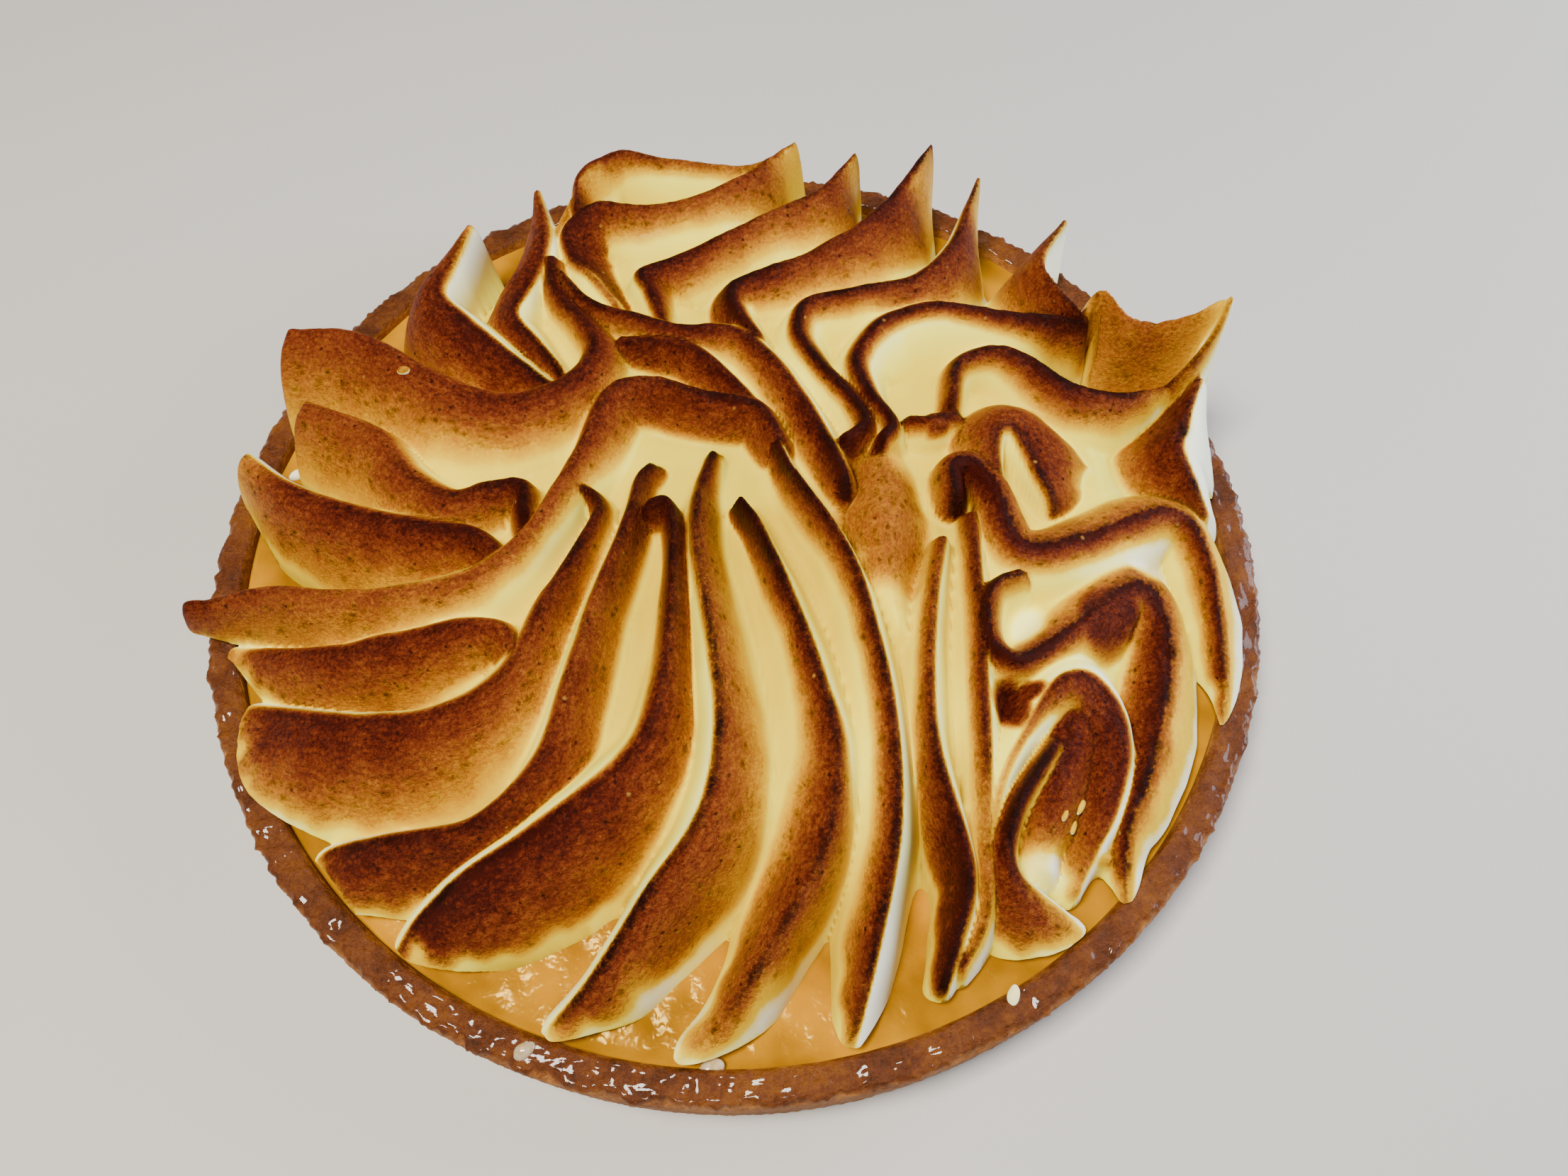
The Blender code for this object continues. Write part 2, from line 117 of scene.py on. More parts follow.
def grid_faces(rows: int, columns: int, closed: bool) -> np.ndarray:
    """Quads of a rows by columns grid of points.

    Args:
        rows: Number of rows of points.
        columns: Number of points in a row.
        closed: True where the last column joins the first.

    Returns:
        An array of four point numbers for each quad.
    """
    number = np.arange(rows * columns).reshape(rows, columns)
    if closed:
        number = np.hstack([number, number[:, :1]])
    a, b = number[:-1, :-1], number[:-1, 1:]
    c, d = number[1:, 1:], number[1:, :-1]
    return np.stack([a, b, c, d], axis=-1).reshape(-1, 4)


def make_mesh(name: str, points: np.ndarray, faces: list) -> bpy.types.Mesh:
    """A mesh from points in millimetres and faces as lists of point numbers."""
    mesh = bpy.data.meshes.new(name)
    mesh.from_pydata((points * MM).tolist(), [], faces)
    mesh.update()
    return mesh


def make_piece(name: str, mesh: bpy.types.Mesh) -> bpy.types.Object:
    """An object at the origin that shows the mesh, smooth except at hard edges."""
    piece = bpy.data.objects.new(name, mesh)
    bpy.context.scene.collection.objects.link(piece)
    mesh.polygons.foreach_set("use_smooth", np.ones(len(mesh.polygons), bool))
    mesh.set_sharp_from_angle(angle=math.radians(75.0))
    return piece


def paint(mesh: bpy.types.Mesh, name: str, values: np.ndarray) -> None:
    """Store one number, or one vector, for every point of a mesh as a named attribute."""
    if values.ndim == 1:
        mesh.attributes.new(name, "FLOAT", "POINT").data.foreach_set("value", values)
    else:
        mesh.attributes.new(name, "FLOAT_VECTOR", "POINT").data.foreach_set("vector", values.ravel())


def points_of(mesh: bpy.types.Mesh) -> np.ndarray:
    """The points of a mesh in millimetres, one row each."""
    flat = np.empty(len(mesh.vertices) * 3)
    mesh.vertices.foreach_get("co", flat)
    return flat.reshape(-1, 3) / MM


# ---------------------------------------------------------------------------
# materials
# ---------------------------------------------------------------------------

def add_node(tree: bpy.types.NodeTree, kind: str, settings: dict | None = None,
             links: dict | None = None) -> bpy.types.Node:
    """Add a node, set its properties and inputs and link its inputs.

    Args:
        tree: Node tree to add to.
        kind: Blender's node type.
        settings: Property or input names with their values.
        links: Input names or numbers with the output sockets that feed them.

    Returns:
        The new node.
    """
    node = tree.nodes.new(kind)
    for key, value in (settings or {}).items():
        if isinstance(key, str) and hasattr(node, key):
            setattr(node, key, value)
        else:
            node.inputs[key].default_value = value
    for key, socket in (links or {}).items():
        tree.links.new(socket, node.inputs[key])
    return node


def add_ramp(tree: bpy.types.NodeTree, stops: tuple, fac: bpy.types.NodeSocket) -> bpy.types.NodeSocket:
    """A colour ramp through (position, hex colour) stops, fed by fac."""
    node = add_node(tree, "ShaderNodeValToRGB", {}, {"Fac": fac})
    ramp = node.color_ramp
    ramp.elements[0].position, ramp.elements[0].color = stops[0][0], linear(stops[0][1])
    ramp.elements[1].position, ramp.elements[1].color = stops[-1][0], linear(stops[-1][1])
    for position, code in stops[1:-1]:
        ramp.elements.new(position).color = linear(code)
    return node.outputs["Color"]


def blend(tree: bpy.types.NodeTree, fac: bpy.types.NodeSocket, low: bpy.types.NodeSocket | tuple,
          high: bpy.types.NodeSocket | tuple, mode: str = "MIX") -> bpy.types.NodeSocket:
    """Mix two colours, each of them a socket or a fixed colour."""
    node = add_node(tree, "ShaderNodeMix", {"data_type": "RGBA", "blend_type": mode}, {0: fac})
    for slot, colour in ((6, low), (7, high)):
        if isinstance(colour, tuple):
            node.inputs[slot].default_value = colour
        else:
            tree.links.new(colour, node.inputs[slot])
    return node.outputs[2]


def sums(tree: bpy.types.NodeTree, operation: str, first: bpy.types.NodeSocket,
         second: bpy.types.NodeSocket | float, clamp: bool = False) -> bpy.types.NodeSocket:
    """One step of arithmetic on two numbers."""
    node = add_node(tree, "ShaderNodeMath", {"operation": operation, "use_clamp": clamp}, {0: first})
    if isinstance(second, (int, float)):
        node.inputs[1].default_value = second
    else:
        tree.links.new(second, node.inputs[1])
    return node.outputs[0]


def rescale(tree: bpy.types.NodeTree, value: bpy.types.NodeSocket, low: float, high: float,
            to_low: float = 0.0, to_high: float = 1.0) -> bpy.types.NodeSocket:
    """Map low..high to to_low..to_high, held at both ends."""
    settings = {"From Min": low, "From Max": high, "To Min": to_low, "To Max": to_high}
    return add_node(tree, "ShaderNodeMapRange", settings, {"Value": value}).outputs["Result"]


def noise(tree: bpy.types.NodeTree, vector: bpy.types.NodeSocket, spacing: float,
          detail: float = 2.0, rough: float = 0.5, twist: float = 0.0) -> bpy.types.NodeSocket:
    """Noise whose lumps lie about spacing metres apart."""
    settings = {"Scale": 1.0 / spacing, "Detail": detail, "Roughness": rough, "Distortion": twist}
    return add_node(tree, "ShaderNodeTexNoise", settings, {"Vector": vector}).outputs["Fac"]


def dots(tree: bpy.types.NodeTree, vector: bpy.types.NodeSocket, spacing: float, reach: float,
         share: float) -> bpy.types.NodeSocket:
    """Round dots on a random lattice.

    Args:
        tree: Node tree to add to.
        vector: Coordinates in metres.
        spacing: Usual distance between two cells.
        reach: Radius of a dot as a share of the spacing.
        share: Share of the cells that hold a dot.

    Returns:
        A mask that is 1 in the middle of a dot and 0 outside it.
    """
    cells = add_node(tree, "ShaderNodeTexVoronoi", {"Scale": 1.0 / spacing}, {"Vector": vector})
    inside = rescale(tree, cells.outputs["Distance"], reach * 0.45, reach, 1.0, 0.0)
    pick = add_node(tree, "ShaderNodeSeparateColor", {}, {"Color": cells.outputs["Color"]})
    chosen = sums(tree, "LESS_THAN", pick.outputs[0], share)
    return sums(tree, "MULTIPLY", inside, chosen)


def bump(tree: bpy.types.NodeTree, height: bpy.types.NodeSocket, depth: float,
         below: bpy.types.NodeSocket | None = None) -> bpy.types.NodeSocket:
    """Bump of a 0..1 height that stands depth metres proud, on top of another bump."""
    links = {"Height": height}
    if below is not None:
        links["Normal"] = below
    node = add_node(tree, "ShaderNodeBump", {"Strength": 1.0, "Distance": depth}, links)
    return node.outputs["Normal"]


def new_material(name: str) -> tuple:
    """A new material with an empty Principled surface.

    Args:
        name: Name of the material.

    Returns:
        The material, its node tree and its Principled node.
    """
    material = bpy.data.materials.new(name)
    material.use_nodes = True
    tree = material.node_tree
    return material, tree, tree.nodes["Principled BSDF"]


@dataclass(frozen=True)
class TorchedMeringue:
    """Whipped egg white and sugar, swirled by hand and torched.

    Unbrowned it is a moist white on the crests that turns to cream. The butter yellow in the
    hollows is painted glow, standing in for light that shines through and bounces between the
    folds. The flame gives gold, then brown with a leathery, pitted skin, and black on the edges.
    """

    # raw runs from the crests (0) to deep in the hollows (1): the butter yellow towards 1 is painted glow
    raw: tuple = ((0.0, "#F2F2DE"), (0.14, "#F6F3A2"), (0.35, "#F6EC54"), (0.65, "#E6D02C"), (1.0, "#CCAE16"))
    browning: tuple = ((0.0, "#F0DC34"), (0.12, "#E0C01C"), (0.25, "#CC9A0C"), (0.38, "#B67A12"),
                       (0.5, "#A06014"), (0.62, "#8A4818"), (0.74, "#743110"), (0.86, "#5C1F0B"),
                       (1.0, "#3C0C03"))
    char: str = "#200500"
    pit: str = "#2A0A02"
    bubble: str = "#C08A3A"

    def material(self) -> bpy.types.Material:
        """Build the material; it reads the attributes toast, char, hollow and flow."""
        material, tree, surface = new_material("torched_meringue")
        place = add_node(tree, "ShaderNodeTexCoord").outputs["Object"]
        toast, char, hollow = (add_node(tree, "ShaderNodeAttribute", {"attribute_name": name}).outputs["Fac"]
                               for name in ("toast", "char", "hollow"))
        flow = add_node(tree, "ShaderNodeAttribute", {"attribute_name": "flow"}).outputs["Vector"]

        # the flame licks unevenly: patches of 7 mm, streaks of 1.1 mm along the folds, 0.7 mm grain
        patches = noise(tree, place, 0.007, 2.0, 0.5)
        streaks = noise(tree, flow, 0.0011, 3.0, 0.65, 0.3)
        grain = noise(tree, place, 0.0007, 4.0, 0.75)
        uneven = sums(tree, "ADD", rescale(tree, patches, 0.3, 0.7, -0.05, 0.05),
                      rescale(tree, streaks, 0.3, 0.7, -0.035, 0.035))
        uneven = sums(tree, "ADD", uneven, rescale(tree, grain, 0.3, 0.7, -0.17, 0.17))
        # the dry skin is pebbled like leather, in cells 1 mm wide and 2 mm long
        cells = add_node(tree, "ShaderNodeTexVoronoi", {"Scale": 1.0 / 0.0012}, {"Vector": flow})
        pebbles = rescale(tree, cells.outputs["Distance"], 0.1, 0.75)
        uneven = sums(tree, "ADD", uneven, rescale(tree, pebbles, 0.0, 1.0, -0.03, 0.07))
        hold = rescale(tree, toast, 0.05, 0.75)
        browned = sums(tree, "ADD", toast, sums(tree, "MULTIPLY", uneven, hold), True)

        # unbrowned colour by hollow depth: painted butter-yellow glow in the hollows, white on the crests
        raw = add_ramp(tree, self.raw, hollow)
        colour = add_ramp(tree, self.browning, browned)
        colour = blend(tree, rescale(tree, browned, 0.02, 0.16), raw, colour)
        burnt = sums(tree, "MULTIPLY", char, rescale(tree, grain, 0.32, 0.52, 0.6, 1.7), True)
        burnt = sums(tree, "MULTIPLY", burnt, rescale(tree, patches, 0.36, 0.6, 0.45, 1.0))
        colour = blend(tree, burnt, colour, linear(self.char))

        # pinholes 0.8 mm across and pale bubbles of 1 mm, both only in the browned skin
        skin = rescale(tree, browned, 0.3, 0.6)
        holes = sums(tree, "MULTIPLY", dots(tree, place, 0.002, 0.2, 0.4), skin)
        blisters = sums(tree, "MULTIPLY", dots(tree, place, 0.005, 0.1, 0.3), skin)
        colour = blend(tree, sums(tree, "MULTIPLY", holes, 0.85), colour, linear(self.pit))
        colour = blend(tree, sums(tree, "MULTIPLY", blisters, 0.6), colour, linear(self.bubble))
        tree.links.new(colour, surface.inputs["Base Color"])

        tree.links.new(rescale(tree, browned, 0.1, 0.7, 0.36, 0.5), surface.inputs["Roughness"])
        surface.inputs["IOR"].default_value = 1.38
        surface.inputs["Specular IOR Level"].default_value = 0.11
        surface.inputs["Subsurface Weight"].default_value = 0.15
        surface.inputs["Subsurface Radius"].default_value = (1.0, 0.8, 0.4)
        surface.inputs["Subsurface Scale"].default_value = 0.003

        relief = bump(tree, sums(tree, "MULTIPLY", streaks, skin), 0.0005)
        relief = bump(tree, sums(tree, "MULTIPLY", pebbles, skin), -0.0006, relief)
        relief = bump(tree, sums(tree, "MULTIPLY", grain, skin), 0.0009, relief)
        relief = bump(tree, sums(tree, "SUBTRACT", blisters, holes), 0.0003, relief)
        tree.links.new(relief, surface.inputs["Normal"])
        return material


@dataclass(frozen=True)
class BakedPastry:
    """Shortcrust baked against a metal ring: sandy and pitted, deep gold, glazed on the rim."""

    light: str = "#B98248"
    middle: str = "#935C2C"
    dark: str = "#66391C"
    glazed: tuple = ((0.3, "#2A1002"), (0.48, "#542808"), (0.72, "#78450E"))

    def material(self) -> bpy.types.Material:
        """Build the material; it reads the attributes glaze, 1 on the brushed rim, and around."""
        material, tree, surface = new_material("baked_pastry")
        place = add_node(tree, "ShaderNodeTexCoord").outputs["Object"]
        glaze = add_node(tree, "ShaderNodeAttribute", {"attribute_name": "glaze"}).outputs["Fac"]
        # baking shades over 10 mm, crumbs of 1.2 mm, sugar grains of 0.4 mm, glaze waves of 4 mm
        shade = noise(tree, place, 0.010, 3.0, 0.6)
        crumb = noise(tree, place, 0.0012, 4.0, 0.7)
        grains = noise(tree, place, 0.0004, 2.0, 0.6)
        around = add_node(tree, "ShaderNodeAttribute", {"attribute_name": "around"}).outputs["Vector"]
        waves = noise(tree, around, 0.0022, 1.0, 0.4, 0.2)
        tone = sums(tree, "ADD", sums(tree, "MULTIPLY", shade, 0.55), sums(tree, "MULTIPLY", crumb, 0.45))
        dry = add_ramp(tree, ((0.33, self.dark), (0.5, self.middle), (0.68, self.light)), tone)
        wet = add_ramp(tree, self.glazed, tone)
        tree.links.new(blend(tree, glaze, dry, wet), surface.inputs["Base Color"])
        tree.links.new(rescale(tree, glaze, 0.0, 1.0, 0.62, 0.4), surface.inputs["Roughness"])
        tree.links.new(rescale(tree, glaze, 0.3, 1.0, 0.0, 0.3), surface.inputs["Coat Weight"])
        surface.inputs["Coat Roughness"].default_value = 0.05
        surface.inputs["Specular IOR Level"].default_value = 0.15
        surface.inputs["IOR"].default_value = 1.45
        relief = bump(tree, crumb, 0.0006)
        relief = bump(tree, grains, 0.00015, relief)
        tree.links.new(relief, surface.inputs["Normal"])
        tree.links.new(bump(tree, waves, 0.0006), surface.inputs["Coat Normal"])
        return material


@dataclass(frozen=True)
class LemonCurd:
    """Set lemon curd: a smooth, wet, deep yellow gel with faint ripples."""

    bright: str = "#C08400"
    deep: str = "#7E5200"
    glint: str = "#FFD870"

    def material(self) -> bpy.types.Material:
        """Build the material of the curd."""
        material, tree, surface = new_material("lemon_curd")
        place = add_node(tree, "ShaderNodeTexCoord").outputs["Object"]
        cloud = noise(tree, place, 0.018, 3.0)
        colour = add_ramp(tree, ((0.35, self.deep), (0.65, self.bright)), cloud)
        tree.links.new(colour, surface.inputs["Base Color"])
        surface.inputs["Roughness"].default_value = 0.15
        surface.inputs["IOR"].default_value = 1.4
        surface.inputs["Specular IOR Level"].default_value = 0.35
        surface.inputs["Specular Tint"].default_value = linear(self.glint)
        surface.inputs["Subsurface Weight"].default_value = 0.25
        surface.inputs["Subsurface Radius"].default_value = (1.0, 0.5, 0.05)
        surface.inputs["Subsurface Scale"].default_value = 0.003
        swells = bump(tree, noise(tree, place, 0.009, 1.0, 0.4, 0.5), 0.0003)
        ripple = noise(tree, place, 0.0014, 1.0, 0.5, 0.4)
        tree.links.new(bump(tree, ripple, 0.0001, swells), surface.inputs["Normal"])
        return material


@dataclass(frozen=True)
class SugarSyrup:
    """Beads of syrup that the meringue wept: clear, wet and faintly amber."""

    amber: str = "#E8C68A"
    clear: str = "#F4E6C4"

    def material(self) -> bpy.types.Material:
        """Build the material of the beads."""
        material, tree, surface = new_material("sugar_syrup")
        place = add_node(tree, "ShaderNodeTexCoord").outputs["Object"]
        cloud = noise(tree, place, 0.0012, 2.0)
        colour = add_ramp(tree, ((0.35, self.amber), (0.65, self.clear)), cloud)
        tree.links.new(colour, surface.inputs["Base Color"])
        surface.inputs["Transmission Weight"].default_value = 0.6
        surface.inputs["Roughness"].default_value = 0.08
        surface.inputs["IOR"].default_value = 1.42
        tree.links.new(bump(tree, cloud, 0.0001), surface.inputs["Normal"])
        return material


@dataclass(frozen=True)
class PlainFloor:
    """Matt pale paint, so that only the pie has colour."""

    tone: str = "#B9B6B1"

    def material(self) -> bpy.types.Material:
        """Build the material of the floor."""
        material, _, surface = new_material("pale_floor")
        surface.inputs["Base Color"].default_value = linear(self.tone)
        surface.inputs["Roughness"].default_value = 0.7
        return material


# ---------------------------------------------------------------------------
# meringue
# ---------------------------------------------------------------------------

class Region(Enum):
    """Where on the pie a fold lies."""

    LEFT = "left petals"
    FRONT = "front fingers"
    RIGHT = "rolled folds"
    WAVE = "rear right waves"
    REAR = "rear petals"
    UPRIGHT = "upright petals"


@dataclass(frozen=True)
class Torch:
    """Where the flame has browned a fold; tuples are spread evenly along its crest.

    Attributes:
        left: Width that is browned left of the crest.
        right: Width that is browned right of the crest.
        tone: Depth of the browning, 0 bare and 1 darkest.
        char: Blackening of the very edge.
        balance: Share by which the left side is darker, and the right side paler.
    """

    left: tuple = (0,)
    right: tuple = (0,)
    tone: tuple = (0,)
    char: tuple = (0,)
    balance: float = 0.0


@dataclass(frozen=True)
class Fold:
    """One ridge of meringue.

    The crest runs through the path's points. Every tuple of numbers is spread evenly from
    the first point to the last. Left and right are seen in walking direction.

    Attributes:
        region: Part of the pie that it belongs to.
        path: Points of the crest in plan.
        left: Width of the fall to the left.
        right: Width of the fall to the right.
        fullness: 0 for a hollow fall, 1 for a plump one.
        lift: Height of the crest above the dome.
        torch: Its browning.
    """

    region: Region
    path: tuple
    left: tuple
    right: tuple
    fullness: tuple
    lift: tuple
    torch: Torch


@dataclass(frozen=True)
class Scorch:
    """An extra patch of browning, or of bare meringue where its strength is negative.

    Attributes:
        centre: Middle of the patch in plan.
        radii: Half lengths of the patch along and across.
        turn: Direction of its long side in degrees from +X.
        strength: Browning in the middle.
    """

    centre: tuple
    radii: tuple
    turn: float
    strength: float


FOLDS = (
    Fold(Region.LEFT,
         ((-34, 58), (-33, 50), (-28, 42), (-25, 35), (-30, 27), (-42, 23), (-55, 29), (-70, 40), (-84, 43)),
         (4, 4, 8, 14, 16, 16, 15), (3, 4, 5, 5, 4, 4, 3), (.4, .5, .8, 1), (0,),
         Torch((2, 3, 5, 8, 10, 11, 11), (2, 2, 3, 3, 3, 2, 1.5), (.9, .86, .8, .76, .74, .72, .7),
               (.9, .6, .2, .1, .1))),
    Fold(Region.LEFT,
         ((-37, -2), (-38, 4), (-44, 4), (-51, 3), (-59, 9), (-66, 19), (-80, 27)),
         (4, 6, 9, 12, 12, 10), (3, 4, 5, 4, 3), (.4, .7, .9), (0, -1, -1),
         Torch((3, 4, 6, 8, 9, 8), (1.5, 2, 2, 1), (.98, .85, .74, .68, .64, .62), (1, .8, .2, .1))),
    Fold(Region.LEFT,
         ((-42, -9), (-47, -5), (-58, -2), (-70, 3), (-82, 10), (-91, 18)),
         (4, 8, 11, 12, 10, 6), (3, 4, 5, 4, 3), (.4, .8, .9), (-1, 0, 1),
         Torch((5, 7, 8.5, 8.5, 6), (2, 2, 1, .5), (.84, .88, .86, .82, .74, .4), (.5, .5, .3, .1))),
    Fold(Region.LEFT,
         ((8.5, 12), (5, 19), (-5, 22), (-14, 26), (-22, 24), (-27, 12), (-34, -4), (-43, -13), (-53, -15.5),
          (-70, -14), (-85, -11), (-99, -10.5)),
         (5, 7, 8, 8, 7, 6, 7, 8, 9, 7, 3), (4, 5, 5, 4, 4, 5, 4, 3, 2), (.4, .3, .5, .8, .9), (0, 0, 0, 0, 9),
         Torch((5, 8, 9, 6, 3, 2, 3, 5, 7, 6, 4), (2.5, 2.5, 2, 1.5, 1),
               (.78, .8, .79, .77, .72, .66, .6, .58, .58, .6, .66, .78), (1, 1, .8, .5, .2, .1, .1, .1, .2, .5))),
    Fold(Region.LEFT,
         ((-38, -28), (-41, -24), (-48, -23), (-60, -24), (-75, -23), (-93, -17)),
         (4, 8, 10, 11, 9, 5), (3, 4, 5, 4, 3), (.5, .8, .9), (-1, 0, 0),
         Torch((5, 7, 8.5, 8, 5.5), (1.5, 1.5, 1), (.7, .8, .82, .78, .72, .62), (.3, .2, .1))),
    Fold(Region.LEFT,
         ((-33, -5), (-31, 1), (-27, 3), (-24, -1), (-27, -9), (-33, -20), (-40, -33), (-53, -38), (-70, -35.5),
          (-93, -27)),
         (3, 3, 4, 5, 9, 14, 18, 20, 19, 15), (3, 3, 4, 5, 5, 5, 4, 3), (.2, .3, .5, .8, 1), (-3, -1, 0, 0),
         Torch((1, 1, 2, 4, 6, 9, 12, 14, 13, 10), (2, 2, 1.5, 1, 1),
               (.94, .92, .86, .76, .66, .74, .84, .86, .82, .74), (.9, .8, .4, .3, .2, .1))),
    Fold(Region.FRONT,
         ((-15, 8), (-17, 5), (-19, -5), (-24, -19), (-29, -35), (-34, -48), (-45, -56), (-60, -56.5),
          (-72, -56.5), (-75, -61)),
         (3, 4, 5, 6, 7, 8, 9, 11, 13, 9), (3, 4, 5, 5, 5, 4, 3), (.1, .2, .5, 1), (-2, 0, 0),
         Torch((2, 3.5, 4, 5, 6.5, 8, 9.5, 10.5, 10.5, 8), (1, 1, 1, 1, .5),
               (.88, .82, .7, .64, .7, .78, .84, .88, .86, .74), (1, .7, .4, .3, .4, .6, .8))),
    Fold(Region.FRONT,
         ((-15, -2), (-12, -2), (-11, -8), (-12, -25), (-15, -42), (-22, -51), (-37, -59.5), (-52, -67),
          (-63, -77)),
         (3, 4, 5, 6, 8, 12, 15, 14, 11, 5), (3, 3, 4, 5, 6, 6, 5, 4, 3), (.1, .2, .5, .9, 1), (-1, 0, 0),
         Torch((2, 3, 4, 4.5, 7, 11, 14, 13.5, 11, 6), (2.5, 2.5, 2, 1, .5, .5),
               (.92, .84, .78, .78, .82, .88, .92, .94, .9), (1, .9, .8, .6, .5, .4, .6, .8, 1))),
    Fold(Region.FRONT,
         ((-3.5, 10), (-6, 2), (-7, -10), (-5, -30), (-4.5, -45), (-8, -58), (-17, -69), (-26, -80), (-36, -88)),
         (3, 5, 6, 7, 8, 10, 12, 11, 8, 4), (3, 4, 5, 6, 5, 5, 4, 3), (.1, .2, .5, .9), (-2, 0, 0),
         Torch((1, 3, 4, 4, 5, 7, 9, 10, 8, 4), (1.5, 1, .5, .5),
               (.9, .68, .58, .56, .6, .68, .74, .72, .5), (1, .7, .8, .9, 1, .9, .9, .7))),
    Fold(Region.FRONT,
         ((1, -2), (4, -8), (9, -24), (12.5, -38), (14, -50), (11, -64), (3, -76), (-6, -87), (-15, -93)),
         (3, 4, 5, 5, 5, 6, 6, 6, 4), (2, 4, 7, 9, 11, 11, 9, 6, 4), (.1, .2, .4, .7), (-2, 0, 0),
         Torch((.6, .6, .6, .6, 1.5, 3, 4, 4, 2), (2.5, 2.5, 2.5, 3.5, 5, 7, 7, 5, 3),
               (1, .9, .8, .75, .72, .7, .66, .55, .35), (1, 1, 1, .9, .7, .6, .4), -.05)),
    Fold(Region.FRONT,
         ((8.5, 10), (12, 0), (19, -15), (22, -30), (23.5, -46), (22.5, -62), (18, -78), (13.5, -91)),
         (3, 4, 4, 4, 4, 5, 5, 4), (3, 5, 6, 7, 8, 9, 8, 4), (.1, .2, .3, .6), (0,),
         Torch((.5,), (2, 2.5, 2.2, 2.2, 2.5, 3, 4, 3.5), (1, .85, .8, .78, .78, .78, .75, .6),
               (1, .9, .8, .8, .9, .9, .8, .5))),
    Fold(Region.FRONT,
         ((36, -12), (33, -23), (30.5, -37), (30, -50), (33.5, -68), (31, -78), (28.5, -84)),
         (3, 4, 4, 4, 5, 4, 3), (3, 4, 4, 4, 5, 5, 3), (.2, .3, .6), (-2, 0, 0),
         Torch((.6, .6, .6, .6, 1, 1), (1.6, 1.6, 1.6, 2.2, 4.5, 5.5, 3), (.6, .62, .65, .7, .88, .95, .9),
               (.4, .5, .5, .7, 1, 1))),
    Fold(Region.FRONT,
         ((42, -7), (41, -22), (39.5, -38), (38.5, -52), (37, -66), (36, -75), (31.5, -82)),
         (3, 4, 4, 4, 4, 4, 3), (3, 4, 4, 4, 4, 4, 3), (.2, .3, .5), (-2, -1, -2, -1),
         Torch((.7, .7, .7, .7, 1, 2), (1.7,), (.75, .72, .72, .78, .4, .5, .45), (.6, .6, .6, .7, .2, .2, .6))),
    Fold(Region.FRONT,
         ((28, 7), (27, -5), (26, -15), (27, -26)),
         (6, 8, 6, 2), (5, 7, 5, 2), (.7,), (-4, -4, -6),
         Torch()),
    Fold(Region.RIGHT,
         ((39.4, -1.5), (39.6, 3), (43.5, 3.8), (46.8, -1), (48, -8), (50, -13), (56, -13.6), (64, -10.6),
          (72, -7.2), (79, -5.5), (84, -8), (86, -16), (86.3, -26), (85.5, -36), (84, -46)),
         (3, 4, 4, 5, 6, 6, 6, 6, 7, 8, 9, 10, 9, 7, 4), (3, 4, 5, 7, 8, 9, 9, 8, 7, 6, 5, 5, 4, 3, 2),
         (.8, .8, .7, .5, .4), (-1, 0, 0, 0, 2, 4, 3, 1),
         Torch((3, 3, 4, 4.5, 5, 5, 5, 5, 5, 5, 4, 3, 2, 1.5), (3, 3.5, 4, 3.5, 3.5, 3.5, 3, 2.5, 2, 2, 2),
               (.95, .94, .88, .8, .76, .74, .7, .68, .66, .64, .62, .6, .58, .6),
               (.8, .8, .8, .8, .8, .7, .6, .5, .5, .5, .6, .6, .5, .8), -.28)),
    Fold(Region.RIGHT,
         ((48.3, -20), (43.5, -22), (41.6, -27.5), (42.2, -32.5), (45.5, -35), (50, -33), (58.3, -27.5),
          (65, -22.5), (70.5, -20), (74.5, -22.5), (75, -31), (73, -38.5), (70, -46.5), (66, -55), (62, -62),
          (61, -70), (60.5, -77), (59, -83)),
         (3, 4, 4, 4, 5, 6, 6, 6, 7, 8, 10, 11, 11, 10, 8, 6, 4, 3),
         (3, 3, 4, 4, 5, 7, 9, 9, 8, 7, 8, 8, 7, 6, 5, 4, 3, 2), (.4, .6, .6, .6), (0, 0, 0, 0, 0, 1, 2),
         Torch((1.5, 2, 2, 2.5, 3, 4, 5, 5, 5, 6, 8, 9, 9, 8, 6, 3, 1.5, .5),
               (1.5, 1.5, 2, 2, 2.5, 3, 4, 4, 3.5, 5, 6, 6, 5, 3, 2, 2, 1.5, 1),
               (.76, .86, .9, .86, .8, .72, .7, .72, .74, .72, .7, .7, .7, .68, .64, .58, .5, .2),
               (.8, .8, .7, .7, .6, .6, .6, .7, .6, .7, .9, .9, .9, .9, .8, .6, .3, 0), -.28)),
    Fold(Region.RIGHT,
         ((38.5, -64), (39.6, -58), (42, -52.5), (45.5, -47.5), (49.5, -42), (53.5, -38.3), (58.5, -38.3),
          (62, -43), (62.8, -49), (61.3, -54.5), (58.8, -60), (55.5, -65), (52.5, -70)),
         (3, 4, 5, 5, 5, 5, 5, 4, 4, 4, 4, 3, 2), (3, 4, 4, 4, 5, 7, 10, 12, 12, 11, 9, 6, 3),
         (.5, .6, .9, .9, .8), (-3, -2, -1, 0, 0, 0, -1),
         Torch((.5, .5, .5, .5, .5, .8, 1.2, 1, .7, .7), (.5, .5, .5, .5, 1.5, 4, 8, 12, 13, 12, 10, 6, 2),
               (.3, .3, .3, .4, .6, .75, .82, .86, .84, .8, .76, .6, .4), (0, 0, 0, .1, .3, .4, .3, .2, .2, .2, .1))),
    Fold(Region.RIGHT,
         ((54.5, -44), (52.7, -50), (49.7, -56.5), (47.3, -62), (46.5, -67)),
         (7, 8, 8, 7, 5), (6, 6, 6, 5, 4), (.9,), (-2.5, -2.5, -2, -2, -3),
         Torch((8,), (6,), (.84, .82, .76, .62, .15), (.2, .3, .1, 0))),
    Fold(Region.RIGHT,
